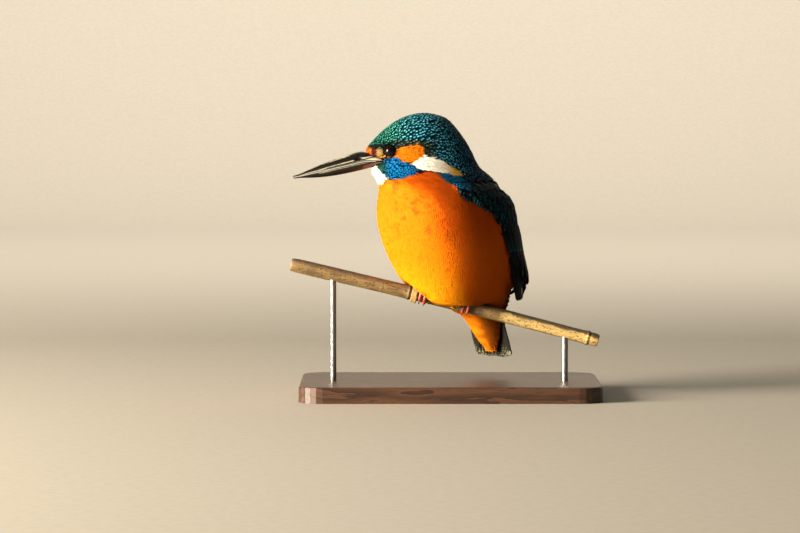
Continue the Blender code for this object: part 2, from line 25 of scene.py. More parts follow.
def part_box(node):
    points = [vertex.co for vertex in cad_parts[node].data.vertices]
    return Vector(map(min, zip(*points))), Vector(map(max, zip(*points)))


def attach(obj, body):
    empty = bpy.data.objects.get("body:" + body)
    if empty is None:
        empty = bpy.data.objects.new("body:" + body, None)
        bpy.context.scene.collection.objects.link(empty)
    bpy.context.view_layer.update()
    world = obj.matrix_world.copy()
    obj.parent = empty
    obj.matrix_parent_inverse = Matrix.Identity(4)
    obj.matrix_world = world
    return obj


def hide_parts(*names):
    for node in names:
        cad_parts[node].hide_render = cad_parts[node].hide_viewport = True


log = logging.getLogger("kingfisher")
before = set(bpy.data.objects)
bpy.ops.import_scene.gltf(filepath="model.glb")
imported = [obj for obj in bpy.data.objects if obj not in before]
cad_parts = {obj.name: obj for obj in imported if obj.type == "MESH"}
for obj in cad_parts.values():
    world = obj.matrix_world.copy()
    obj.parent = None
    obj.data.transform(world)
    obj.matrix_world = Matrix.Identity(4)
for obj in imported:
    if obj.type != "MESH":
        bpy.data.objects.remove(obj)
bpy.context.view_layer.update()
SEED = 7
MM = 0.001
ATTRIBUTES = {1: ("FLOAT", "value"), 3: ("FLOAT_VECTOR", "vector"), 4: ("FLOAT_COLOR", "color")}


# ------------------------------------------------------------------------- small helpers
def smooth(value: np.ndarray, low: float, high: float) -> np.ndarray:
    """A soft step.

    Args:
        value: what is compared.
        low: where the result is 0.
        high: where the result is 1; it may lie below low.
    Returns:
        Shares between 0 and 1, like value.
    """
    share = np.clip((np.asarray(value, float) - low) / (high - low), 0.0, 1.0)
    return share * share * (3.0 - 2.0 * share)


def unit(vectors: np.ndarray) -> np.ndarray:
    """The vectors in the last axis, made one long."""
    return vectors / np.maximum(np.linalg.norm(vectors, axis=-1, keepdims=True), 1e-12)


def dot(a: np.ndarray, b: np.ndarray) -> np.ndarray:
    """The dot products along the last axis."""
    return (a * b).sum(axis=-1)


def ripple(points: np.ndarray, wavelength: float, seed: int) -> np.ndarray:
    """Smooth noise made of waves in random directions.

    Args:
        points: places in metres, n by 3.
        wavelength: the typical size of a patch in mm.
        seed: which noise.
    Returns:
        Values of about -1 to 1.
    """
    rng = np.random.default_rng(seed)
    total = np.zeros(len(points))
    for _ in range(7):
        wave = unit(rng.normal(size=3)) * (2 * math.pi / (wavelength * MM))
        wave *= rng.uniform(0.6, 1.6)
        total += np.sin(points @ wave + rng.uniform(0, 2 * math.pi))
    return total / 3.2


def linear(hex_colour: str) -> np.ndarray:
    """An sRGB hex colour as linear red, green and blue.

    Args:
        hex_colour: such as "#f5a91a".
    Returns:
        Three linear values.
    """
    values = np.array([int(hex_colour[k : k + 2], 16) for k in (1, 3, 5)]) / 255.0
    return np.where(values <= 0.04045, values / 12.92, ((values + 0.055) / 1.055) ** 2.4)


def rgba(hex_colour: str) -> tuple[float, float, float, float]:
    """An sRGB hex colour as an opaque linear colour for a socket."""
    red, green, blue = linear(hex_colour)
    return float(red), float(green), float(blue), 1.0


def to_mesh(bm: bmesh.types.BMesh, name: str) -> bpy.types.Mesh:
    """Turns a bmesh into a smooth mesh and frees it.

    Args:
        bm: the bmesh.
        name: the mesh's name.
    Returns:
        The mesh.
    """
    mesh = bpy.data.meshes.new(name)
    bm.to_mesh(mesh)
    bm.free()
    mesh.shade_smooth()
    return mesh


def show(
    name: str,
    mesh: bpy.types.Mesh,
    finish: bpy.types.Material,
    replaced: Sequence[str] = (),
) -> bpy.types.Object:
    """Puts a finished mesh in the scene as a piece of the model.

    Args:
        name: the piece's name.
        mesh: its mesh, already in place.
        finish: its material.
        replaced: the solids that it stands for.
    Returns:
        The piece.
    """
    mesh.materials.clear()
    mesh.materials.append(finish)
    piece = bpy.data.objects.new(name, mesh)
    bpy.context.scene.collection.objects.link(piece)
    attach(piece, "root")
    if replaced:
        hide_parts(*replaced)
    log.info("%s: %d faces", name, len(mesh.polygons))
    return piece


def evaluated(name: str, mesh: bpy.types.Mesh, kind: str, **settings: Any) -> bpy.types.Mesh:
    """A mesh after one modifier.

    Args:
        name: the new mesh's name.
        mesh: the mesh that the modifier works on.
        kind: the modifier's type.
        settings: its settings.
    Returns:
        The new mesh.
    """
    holder = bpy.data.objects.new("holder", mesh)
    bpy.context.scene.collection.objects.link(holder)
    modifier = holder.modifiers.new(kind, kind)
    for key, value in settings.items():
        setattr(modifier, key, value)
    graph = bpy.context.evaluated_depsgraph_get()
    result = bpy.data.meshes.new_from_object(holder.evaluated_get(graph))
    bpy.data.objects.remove(holder)
    result.name = name
    return result


def merged(node: str) -> bmesh.types.BMesh:
    """A closed copy of a solid, with its loose triangles merged.

    Args:
        node: the solid's name.
    Returns:
        A bmesh whose faces point outwards.
    """
    bm = bmesh.new()
    bm.from_mesh(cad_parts[node].data)
    bmesh.ops.remove_doubles(bm, verts=bm.verts, dist=1e-6)
    bmesh.ops.recalc_face_normals(bm, faces=bm.faces)
    return bm


def refined(node: str, levels: int) -> bpy.types.Mesh:
    """A finer, rounder copy of a solid.

    Args:
        node: the solid's name.
        levels: how often its faces are divided.
    Returns:
        The mesh.
    """
    bm = merged(node)
    bmesh.ops.join_triangles(
        bm,
        faces=bm.faces,
        angle_face_threshold=math.radians(40),
        angle_shape_threshold=math.radians(60),
    )
    mesh = to_mesh(bm, node)
    mesh = evaluated(node, mesh, "SUBSURF", levels=levels, render_levels=levels)
    mesh.shade_smooth()
    return mesh


def points_of(mesh: bpy.types.Mesh, what: str = "co") -> np.ndarray:
    """The vertices' places or normals, n by 3.

    Args:
        mesh: the mesh.
        what: "co" or "normal".
    Returns:
        The values in metres.
    """
    values = np.zeros(len(mesh.vertices) * 3, np.float32)
    mesh.vertices.foreach_get(what, values)
    return values.reshape(-1, 3).astype(float)


def set_points(mesh: bpy.types.Mesh, points: np.ndarray) -> None:
    """Moves a mesh's vertices.

    Args:
        mesh: the mesh.
        points: the new places, n by 3.
    """
    mesh.vertices.foreach_set("co", points.astype(np.float32).ravel())
    mesh.update()


def set_attribute(mesh: bpy.types.Mesh, name: str, values: np.ndarray) -> None:
    """Stores a value on each vertex.

    Args:
        mesh: the mesh.
        name: the attribute's name.
        values: n numbers, n by 3 vectors or n by 4 colours.
    """
    kind, field_name = ATTRIBUTES[1 if values.ndim == 1 else values.shape[1]]
    layer = mesh.attributes.new(name, kind, "POINT")
    layer.data.foreach_set(field_name, values.astype(np.float32).ravel())


def opaque(colours: np.ndarray) -> np.ndarray:
    """Colours with an alpha of one added."""
    return np.concatenate([colours, np.ones((len(colours), 1))], axis=1)


# -------------------------------------------------------------------------- bird's axes
@dataclass(frozen=True)
class Level:
    """A place on the body's centre line, in mm, with the mean radius round it."""

    height: float
    forward: float
    reach: float
    turn: float
    radius: float


@dataclass
class Pose:
    """How the bird stands: its facing, its turned head and its centre line."""

    feet: tuple[float, float, float] = (-2.75, -6.0, 48.0)
    body_yaw: float = 40.0
    head_turn: float = 37.0
    neck_forward: float = 3.8
    levels: tuple[Level, ...] = (
        Level(94.0, 3.8, 8.6, 1.0, 2.0),
        Level(92.0, 3.8, 8.4, 1.0, 8.5),
        Level(87.5, 3.8, 9.2, 1.0, 14.0),
        Level(80.5, 3.8, 10.4, 1.0, 18.5),
        Level(73.5, 3.8, 11.0, 1.0, 21.5),
        Level(66.5, 3.8, 8.2, 0.95, 23.0),
        Level(59.5, 4.2, 1.8, 0.5, 27.5),
        Level(51.0, 2.2, 0.0, 0.0, 31.0),
        Level(39.0, 0.0, 0.0, 0.0, 32.0),
        Level(25.0, -4.5, 0.0, 0.0, 31.4),
        Level(11.5, -9.6, 0.0, 0.0, 28.0),
        Level(3.0, -13.2, 0.0, 0.0, 24.0),
        Level(-1.6, -17.0, 0.0, 0.0, 21.5),
        Level(-5.0, -25.5, 0.0, 0.0, 14.3),
        Level(-10.5, -31.0, 0.0, 0.0, 11.0),
        Level(-19.5, -34.8, 0.0, 0.0, 7.7),
        Level(-28.0, -38.8, 0.0, 0.0, 2.8),
    )
    tail_root: tuple[float, float] = (-28.5, 2.0)
    tail_tip: tuple[float, float] = (-40.8, -30.6)

    def facing(self, turn: np.ndarray | float) -> tuple[np.ndarray, np.ndarray]:
        """Level unit vectors, forward and left.

        Args:
            turn: the share of the head's turn, 0 for the breast and 1 for the bill.
        Returns:
            The forward and the left directions, with the shape of turn and 3 more.
        """
        yaw = np.radians(self.body_yaw + self.head_turn * np.asarray(turn, float))
        level = np.zeros_like(yaw)
        ahead = np.stack([-np.sin(yaw), -np.cos(yaw), level], axis=-1)
        left = np.stack([np.cos(yaw), -np.sin(yaw), level], axis=-1)
        return ahead, left

    def along_line(self, height: np.ndarray, what: str) -> np.ndarray:
        """A value of the centre line, read at heights in mm."""
        knots = [(level.height, getattr(level, what)) for level in reversed(self.levels)]
        return np.interp(height, *zip(*knots))

    def body(self, forward: float, left: float, height: float) -> np.ndarray:
        """A point in metres from millimetres along the breast's axes."""
        ahead, side = self.facing(0.0)
        flat = ahead * forward + side * left
        return (np.array(self.feet) + flat + np.array([0.0, 0.0, height])) * MM

    def head(self, forward: float, left: float, height: float) -> np.ndarray:
        """A point in metres from millimetres along the bill's axes at the neck."""
        ahead, side = self.facing(1.0)
        return self.body(self.neck_forward, 0, height) + (ahead * forward + side * left) * MM

    def in_head(self, points: np.ndarray) -> tuple[np.ndarray, np.ndarray, np.ndarray]:
        """Forward, left and height in mm along the head's axes."""
        ahead, side = self.facing(1.0)
        reach = points / MM - self.body(self.neck_forward, 0, 0) / MM
        return reach @ ahead, reach @ side, reach[:, 2]

    def height(self, points: np.ndarray) -> np.ndarray:
        """Heights above the reed's axis, in mm."""
        return points[..., 2] / MM - self.feet[2]

    def centre(self, height: np.ndarray) -> np.ndarray:
        """Points of the centre line in metres, at heights in mm."""
        ahead, _ = self.facing(0.0)
        bill_ahead, _ = self.facing(1.0)
        forward = self.along_line(height, "forward")[..., None] * ahead
        reach = self.along_line(height, "reach")[..., None] * bill_ahead
        rise = np.asarray(height, float)[..., None] * np.array([0.0, 0.0, 1.0])
        return (np.array(self.feet) + forward + reach + rise) * MM

    def angle(self, points: np.ndarray) -> np.ndarray:
        """Degrees round the centre line, 0 in front and positive to the left."""
        height = self.height(points)
        ahead, left = self.facing(self.along_line(height, "turn"))
        reach = points - self.centre(height)
        return np.degrees(np.arctan2(dot(reach, left), dot(reach, ahead)))

    def unwrap(self, points: np.ndarray) -> np.ndarray:
        """The skin's own flat map: the angle round the body and the way down along it.

        Args:
            points: places in metres, n by 3.
        Returns:
            Map places of 0.02 to 0.98, n by 2.
        """
        line = list(reversed(self.levels))
        run = [0.0]
        for low, high in zip(line, line[1:]):
            run.append(run[-1] + math.hypot(high.height - low.height, high.radius - low.radius))
        down = np.interp(self.height(points), [level.height for level in line], run)
        around = self.angle(points) / 360.0 + 0.5
        return np.stack([0.02 + 0.96 * around, 0.02 + 0.96 * down / run[-1]], axis=-1)

    def lie(self, points: np.ndarray, normals: np.ndarray) -> np.ndarray:
        """The way the coat lies: back from the bill over the head, then down to the tail.

        Args:
            points: places in metres, n by 3.
            normals: the skin's outward directions there.
        Returns:
            Unit vectors along the skin.
        """
        forward, _, height = self.in_head(points)
        ahead, _ = self.facing(0.0)
        bill_ahead, _ = self.facing(1.0)
        down = np.array([0.0, 0.0, -1.0])
        away = unit(points - self.head(40.0, 0.0, 70.0))
        nape = smooth(forward, 14.0, -16.0)[:, None]
        over_head = away * (1 - nape) + (down - 0.35 * bill_ahead) * nape
        belly = smooth(height, 24.0, -4.0)[:, None]
        over_body = down - ahead * (0.1 + 0.75 * belly)
        on_head = smooth(height, 52.0, 64.0)[:, None]
        flow = over_head * on_head + over_body * (1 - on_head)
        flow -= dot(flow, normals)[:, None] * normals
        return unit(flow)


POSE = Pose()


# ------------------------------------------------------------------------------ markings
def coverage(
    outline: Sequence[tuple[float, float]], across: np.ndarray, up: np.ndarray, soft: float
) -> np.ndarray:
    """How far places lie inside a closed outline.

    Args:
        outline: its corners in mm.
        across: the places' first coordinates.
        up: their second ones.
        soft: the width of the edge in mm.
    Returns:
        Shares of 0 outside to 1 inside.
    """
    inside = np.zeros(len(across), bool)
    nearest = np.full(len(across), 1e9)
    for (ax, ay), (bx, by) in zip(outline, [*outline[1:], outline[0]]):
        dx, dy = bx - ax, by - ay
        share = ((across - ax) * dx + (up - ay) * dy) / (dx * dx + dy * dy)
        share = np.clip(share, 0, 1)
        gap = np.hypot(across - ax - share * dx, up - ay - share * dy)
        nearest = np.minimum(nearest, gap)
        crosses = (ay > up) != (by > up)
        slope = dx / dy if dy else 0.0
        inside ^= crosses & (across < ax + (up - ay) * slope)
    return smooth(np.where(inside, nearest, -nearest), -soft, soft)


class Tract(Enum):
    """A stretch of plumage with feathers of one kind."""

    CROWN = 0
    LORE = 1
    CHEEK = 2
    MALAR = 3
    BLAZE = 4
    THROAT = 5
    BREAST = 6
    MANTLE = 7
    BACK = 8
    UNDERTAIL = 9
    WING = 10


@dataclass
class Markings:
    """Where each colour of the plumage lies, on skin and coat alike."""

    lore: tuple = ((34.9, 72.6), (34.6, 77.6), (41.0, 78.0), (41.0, 72.6))
    lore_dark: tuple = ((33.2, 72.9), (33.2, 76.8), (35.4, 77.2), (35.4, 72.6))
    cream: tuple = ((29.9, 73.2), (30.2, 76.0), (33.9, 76.5), (33.8, 73.1))
    brow_line: tuple = ((27.5, 76.4), (27.5, 79.0), (36.8, 78.2), (36.8, 76.9))
    eye_patch: tuple = ((25.4, 73.2), (25.6, 77.8), (30.4, 78.6), (30.6, 72.9), (28.0, 72.6))
    gape_patch: tuple = (
        (26.8, 72.2), (30.0, 73.4), (35.2, 73.4), (41.0, 73.0), (41.0, 68.8), (35.5, 68.8),
        (30.0, 70.8),
    )  # fmt: skip
    cheek: tuple = (
        (27.4, 72.9), (25.7, 74.0), (24.8, 76.1), (19.0, 77.7), (13.9, 78.8), (11.3, 76.8),
        (11.0, 73.3), (16.8, 69.2), (22.4, 70.2),
    )  # fmt: skip
    blaze: tuple = (
        (17.3, 69.6), (16.6, 71.6), (14.5, 73.0), (11.6, 73.8), (5.6, 72.0), (-0.4, 69.0),
        (-6.4, 65.2), (-9.0, 62.8), (-5.0, 62.9), (1.3, 64.4), (6.3, 64.9), (12.1, 65.9),
        (15.8, 67.4),
    )  # fmt: skip
    malar: tuple = (
        (34.2, 68.4), (31.0, 71.2), (27.2, 72.6), (22.7, 70.4), (17.3, 68.6), (15.4, 66.4),
        (16.2, 64.4), (19.3, 63.0), (24.2, 61.8), (27.9, 61.4), (30.2, 62.6), (31.6, 64.8),
    )  # fmt: skip
    side_patch: tuple = (
        (88.9, 64.6), (99.4, 64.6), (109.0, 63.7), (108.6, 61.8), (98.1, 59.2), (91.5, 56.8),
        (84.3, 56.8), (79.0, 57.4), (75.6, 58.7), (74.8, 60.2), (78.4, 61.9),
    )  # fmt: skip
    orange_edge: tuple = (
        (-40.0, 170.0), (-6.0, 165.0), (3.0, 128.0), (10.9, 124.0), (18.0, 121.5),
        (27.0, 111.6), (32.8, 104.4), (40.6, 98.8), (46.3, 91.0), (52.3, 82.0), (54.8, 79.4),
        (57.3, 78.5), (60.7, 82.0), (62.1, 83.5), (64.0, 87.2), (66.0, 87.0),
    )  # fmt: skip
    collar_edge: tuple = (
        (-180.0, 63.0), (-75.0, 64.0), (-50.0, 62.5), (-36.0, 59.5), (-18.0, 56.9), (-4.2, 59.0),
        (8.0, 60.6), (26.6, 61.9), (41.2, 63.1), (50.9, 64.1), (59.7, 64.7), (75.8, 65.0),
        (90.0, 64.2),
    )  # fmt: skip
    throat_edge: tuple = (
        (53.0, 34.6), (56.0, 33.2), (59.5, 31.4), (63.0, 29.2), (66.9, 30.4), (69.0, 33.0),
    )  # fmt: skip
    # Spot strength on the wing by the angle round the body: weak at the wing's front, which turns from the
    # light, as painted shade; strong farther back, as the wing's own spots.
    wing_spots: tuple = ((88.0, 0.35), (100.0, 0.3), (112.0, 0.25), (130.0, 0.8), (170.0, 0.9))

    def at(self, points: np.ndarray, wing_gap: np.ndarray) -> dict[str, np.ndarray]:
        """The plumage's colours at places on the body.

        Args:
            points: places in metres, n by 3.
            wing_gap: their distances from the wings, in mm.
        Returns:
            tint and tip colours (n by 3), spot colours with their strength as alpha
            (n by 4), and the tract's number (n).
        """
        forward, _, height = POSE.in_head(points)
        bearing = POSE.angle(points)
        angle = np.abs(bearing)
        wander = ripple(points, 3.0, 21)
        forward = forward + 0.35 * wander
        height = height + 0.3 * ripple(points, 2.6, 22)
        count = len(points)
        tint = np.zeros((count, 3))
        tip = np.zeros((count, 3))
        spot = np.zeros((count, 4))
        tract = np.full(count, Tract.CROWN.value)

        def lay(
            share: np.ndarray, kind: Tract, base: str, end: str, mark: str = "#000000", bold: float = 0.0
        ) -> None:
            """Paints one marking over those before it."""
            cover = share[:, None]
            tint[:] = tint * (1 - cover) + linear(base) * cover
            tip[:] = tip * (1 - cover) + linear(end) * cover
            spot[:, :3] = spot[:, :3] * (1 - cover) + linear(mark) * cover
            spot[:, 3] = spot[:, 3] * (1 - share) + bold * share
            tract[share > 0.5] = kind.value

        whole = np.ones(count)
        rear = smooth(forward, 30.0, 12.0)
        nape = smooth(forward, 4.0, -14.0)
        lay(whole, Tract.CROWN, "#052420", "#07342c", "#50b9a6", 1.0)
        lay(rear, Tract.CROWN, "#031f2b", "#063446", "#60c4dc", 1.0)
        # The nape's ground is painted near black: partly its own dark blue, partly painted shade.
        lay(nape, Tract.CROWN, "#01070c", "#03121d", "#3c8cba", 1.0)
        greyish = smooth(height, 81.0, 79.2) * smooth(forward, 28.0, 24.0) * smooth(forward, 4.0, 10.0)
        lay(greyish, Tract.CROWN, "#101816", "#1a2520", "#52645a", 0.8)
        # The mantle is painted near black with faint spots: partly its own dark blue-green, partly painted
        # shade.
        mantle = smooth(height, 62.5, 59.5)
        lay(mantle, Tract.MANTLE, "#020506", "#040b0e", "#0e3240", 0.3)
        stripe = smooth(angle, 146.0, 156.0) * smooth(height, 60.0, 54.0)
        lay(stripe, Tract.BACK, "#0b78ac", "#28a4d4", "#6ec6dc", 0.5)

        jaw = smooth(height, 70.0, 68.5) * smooth(forward, 8.0, 14.0)
        lay(jaw, Tract.CHEEK, "#0a0806", "#1a120b")
        bib = jaw * smooth(height, 60.5, 59.0)
        lay(bib, Tract.BREAST, "#cc6a04", "#d87c07")
        edge = np.interp(height, *zip(*self.orange_edge))
        top = np.interp(bearing, *zip(*self.collar_edge))
        in_front = smooth(angle + 2.0 * wander, edge + 2.5, edge - 2.5)
        orange = in_front * smooth(height, top + 0.6, top - 0.6)
        lay(orange, Tract.BREAST, "#cc6203", "#d06703")
        # flank paints the side of the breast that turns from the key light deeper and redder: partly the
        # bird's chestnut flank, partly painted shade.
        flank = orange * smooth(bearing, 22.0, 52.0)
        lay(flank, Tract.BREAST, "#a83b02", "#b64a03")
        mottle = orange * smooth(ripple(points, 8.0, 5) + 0.5 * wander, -0.1, 1.0)
        mottle *= smooth(height, 20.0, 40.0) * smooth(bearing, -30.0, 20.0)
        lay(0.9 * mottle, Tract.BREAST, "#a43c02", "#b44903")
        # pale and low paint the lower breast lighter and yellower, less so on the flank: painted light
        # where the lamps leave the belly dim.
        pale = orange * smooth(height, 42.0, 22.0) * 0.85 * (1 - 0.7 * flank)
        lay(pale, Tract.BREAST, "#cd6a03", "#d16f03")
        low = orange * smooth(height, 24.0, 2.0) * (1 - flank)
        lay(0.8 * low, Tract.BREAST, "#e08806", "#e48f07")
        tract[orange > 0.5] = Tract.BREAST.value
        undertail = orange * smooth(height, -3.0, -7.0)
        rust = undertail * smooth(ripple(points, 5.0, 8), 0.0, 0.9)
        lay(undertail, Tract.UNDERTAIL, "#cc6604", "#dc7a08")
        # Painted shade: the side of the undertail that turns from the light is darkened to brown.
        undertail_shade = undertail * smooth(bearing, 10.0, 45.0)
        lay(0.7 * undertail_shade, Tract.UNDERTAIL, "#3a1806", "#4c2006")
        lay(0.7 * rust, Tract.UNDERTAIL, "#733008", "#984906")
        tract[undertail > 0.5] = Tract.UNDERTAIL.value

        bounds = np.interp(height, *zip(*self.throat_edge))
        throat = smooth(forward, bounds - 0.5, bounds + 0.5)
        throat *= smooth(height, 70.4, 69.8) * smooth(height, 52.6, 54.6)
        shadow = (1 - orange) * smooth(height, 66.0, 65.0) * smooth(forward, -12.0, -6.0)
        shadow *= smooth(forward, 19.0, 16.0)
        lay(shadow, Tract.MALAR, "#04090c", "#08131a", "#143a4c", 0.4)
        lay(throat, Tract.THROAT, "#dfd8c0", "#ece7d6")
        side = coverage(self.side_patch, angle, height, 0.9)
        lay(side, Tract.MALAR, "#052b40", "#084564", "#1c78a4", 0.9)
        malar = coverage(self.malar, forward, height, 0.2)
        lay(malar, Tract.MALAR, "#01284e", "#014a80", "#0a7cba", 1.0)
        green = malar * smooth(forward, 28.3, 31.5)
        lay(green, Tract.MALAR, "#04241f", "#083830", "#185f56", 0.7)
        violet = malar * smooth(forward, 21.5, 17.0)
        lay(violet, Tract.MALAR, "#031d3e", "#053260", "#1a5c9c", 1.0)
        blaze = coverage(self.blaze, forward, height, 0.25)
        lay(blaze, Tract.BLAZE, "#e8e3d0", "#f6f3e8")
        # Painted shade: the rear of the white patch, turned from the light, is painted buff-yellow.
        buff = blaze * smooth(forward + 0.8 * wander, 3.0, -4.0)
        lay(buff, Tract.BLAZE, "#c98f28", "#e0b04a")
        cheek = coverage(self.cheek, forward, height, 0.2)
        lay(cheek, Tract.CHEEK, "#b85a02", "#cc6e04")
        front = cheek * smooth(forward, 19.0, 24.0)
        lay(0.5 * front, Tract.CHEEK, "#ad4a02", "#bd5803")
        for outline, soft, base, end in (
            (self.gape_patch, 0.4, "#1f110a", "#341d0f"),
            (self.cream, 0.4, "#8c6e3e", "#b9965c"),
            (self.lore, 0.4, "#a04a10", "#c07826"),
            (self.lore_dark, 0.45, "#3f120a", "#5c1c0a"),
            (self.brow_line, 0.3, "#0a0b0b", "#141614"),
            (self.eye_patch, 0.5, "#120d0a", "#241a12"),
        ):
            lay(coverage(outline, forward, height, soft), Tract.LORE, base, end)
        line = 71.6 + smooth(forward, 34.5, 26.0) * 1.7
        streak = smooth(np.abs(height - line), 0.75, 0.35) * smooth(forward, 25.0, 27.0)
        streak *= smooth(forward, 36.4, 35.4)
        lay(streak, Tract.LORE, "#b06c1e", "#c8985a")
        folded = smooth(wing_gap, 0.75, 0.35)
        # bold: the wing's spots, faint towards the front as painted shade.
        bold = np.interp(angle, *zip(*self.wing_spots))
        folded *= 1 - 0.85 * side
        lay(folded, Tract.WING, "#060d11", "#0a1f27", "#2f8e98", 1.0)
        spot[:, 3] *= 1 - folded * (1 - bold)
        return {"tint": tint, "tip": tip, "spot": spot, "tract": tract}


MARKS = Markings()


# ------------------------------------------------------------------------------ finishes
Socket = bpy.types.NodeSocket
Triple = tuple[float, float, float]
VANE_COLOURS = ("tint", "tip", "spot")
SMOOTH = {"interpolation_type": "SMOOTHSTEP"}
COLOURS = {"data_type": "RGBA"}


def add_node(
    tree: bpy.types.NodeTree, kind: str, inputs: Any = (), output: int | str = 0, **settings: Any
) -> Socket:
    """Adds a shader node.

    Args:
        tree: the material's nodes.
        kind: the node's type, without its prefix.
        inputs: numbers, sRGB hex colours or sockets, in order or by an input's name or number.
        output: the output that is wanted.
        settings: the node's own properties.
    Returns:
        That output's socket.
    """
    node = tree.nodes.new(f"ShaderNode{kind}")
    for key, value in settings.items():
        setattr(node, key, value)
    for key, value in inputs.items() if isinstance(inputs, dict) else enumerate(inputs):
        if isinstance(value, Socket):
            tree.links.new(value, node.inputs[key])
        else:
            node.inputs[key].default_value = rgba(value) if isinstance(value, str) else value
    return node.outputs[output]


def grain(
    tree: bpy.types.NodeTree,
    size: float,
    detail: float = 3.0,
    stretch: Triple = (1.0, 1.0, 1.0),
    turn: Triple = (0.0, 0.0, 0.0),
    place: Socket | None = None,
) -> Socket:
    """A random grain over the object's own coordinates.

    Args:
        tree: the material's nodes.
        size: the size of a grain in mm.
        detail: octaves.
        stretch: how many times longer it is along each axis.
        turn: the angles in degrees that its axes are turned by.
        place: other coordinates in metres.
    Returns:
        Values about 0.5.
    """
    if place is None:
        place = add_node(tree, "TexCoord", output="Object")
    axes = {"Vector": place, "Rotation": tuple(math.radians(t) for t in turn), "Scale": stretch}
    turned = add_node(tree, "Mapping", axes, vector_type="TEXTURE")
    return add_node(tree, "TexNoise", {"Vector": turned, "Scale": 1.0 / (size * MM), "Detail": detail})


def shades(tree: bpy.types.NodeTree, value: Socket, stops: Sequence[tuple[float, str]]) -> Socket:
    """The colour that belongs to a value.

    Args:
        tree: the material's nodes.
        value: what is looked up.
        stops: values and their sRGB hex colours, the lowest first.
    Returns:
        The colour, mixed evenly between two stops.
    """
    colour: Any = stops[0][1]
    for (low, _), (high, end) in zip(stops, stops[1:]):
        share = add_node(tree, "MapRange", (value, low, high))
        colour = add_node(tree, "Mix", {0: share, 6: colour, 7: end}, 2, **COLOURS)
    return colour


@dataclass(frozen=True)
class Finish:
    """A substance whose look comes from one grain, drawn at its real size."""

    name: str
    roughness: float
    size: float = 1.0  # of the grain in mm
    stops: tuple[tuple[float, str], ...] = ()  # the grain's colours
    relief: float = 0.0  # its depth in mm, less than 0 where high values are hollows
    detail: float = 3.0
    stretch: Triple = (1.0, 1.0, 1.0)
    turn: Triple = (0.0, 0.0, 0.0)
    ior: float = 1.5
    metallic: float = 0.0
    gloss: float = 0.5  # the specular level
    scuff: tuple[float, float] | None = None  # the span and the least of a roughness that varies

    def build(self) -> bpy.types.Material:
        """Makes the material.

        Returns:
            The material.
        """
        material = bpy.data.materials.new(self.name)
        material.use_nodes = True
        tree = material.node_tree
        inputs = tree.nodes["Principled BSDF"].inputs
        inputs["Roughness"].default_value = self.roughness
        inputs["IOR"].default_value = self.ior
        inputs["Metallic"].default_value = self.metallic
        inputs["Specular IOR Level"].default_value = self.gloss
        for name, socket in self.paint(tree).items():
            tree.links.new(socket, inputs[name])
        return material

    def paint(self, tree: bpy.types.NodeTree) -> dict[str, Socket]:
        """Draws the patterns.

        Args:
            tree: the material's nodes.
        Returns:
            The sockets that feed the shader, by the names of its inputs.
        """
        pattern = grain(tree, self.size, self.detail, self.stretch, self.turn)
        fed = {"Base Color": self.colour(tree, pattern)}
        if self.scuff:
            fed["Roughness"] = add_node(tree, "Math", (pattern, *self.scuff), operation="MULTIPLY_ADD")
        if self.relief:
            fed["Normal"] = self.raised(tree, pattern)
        return fed

    def colour(self, tree: bpy.types.NodeTree, pattern: Socket) -> Socket:
        """The colour that a value of the grain gives."""
        return shades(tree, pattern, self.stops)

    def raised(self, tree: bpy.types.NodeTree, pattern: Socket, **base: Socket) -> Socket:
        """The normals over a pattern's relief, and over base normals where they are given."""
        height = {"Height": pattern, "Distance": abs(self.relief) * MM, **base}
        return add_node(tree, "Bump", height, invert=self.relief < 0)


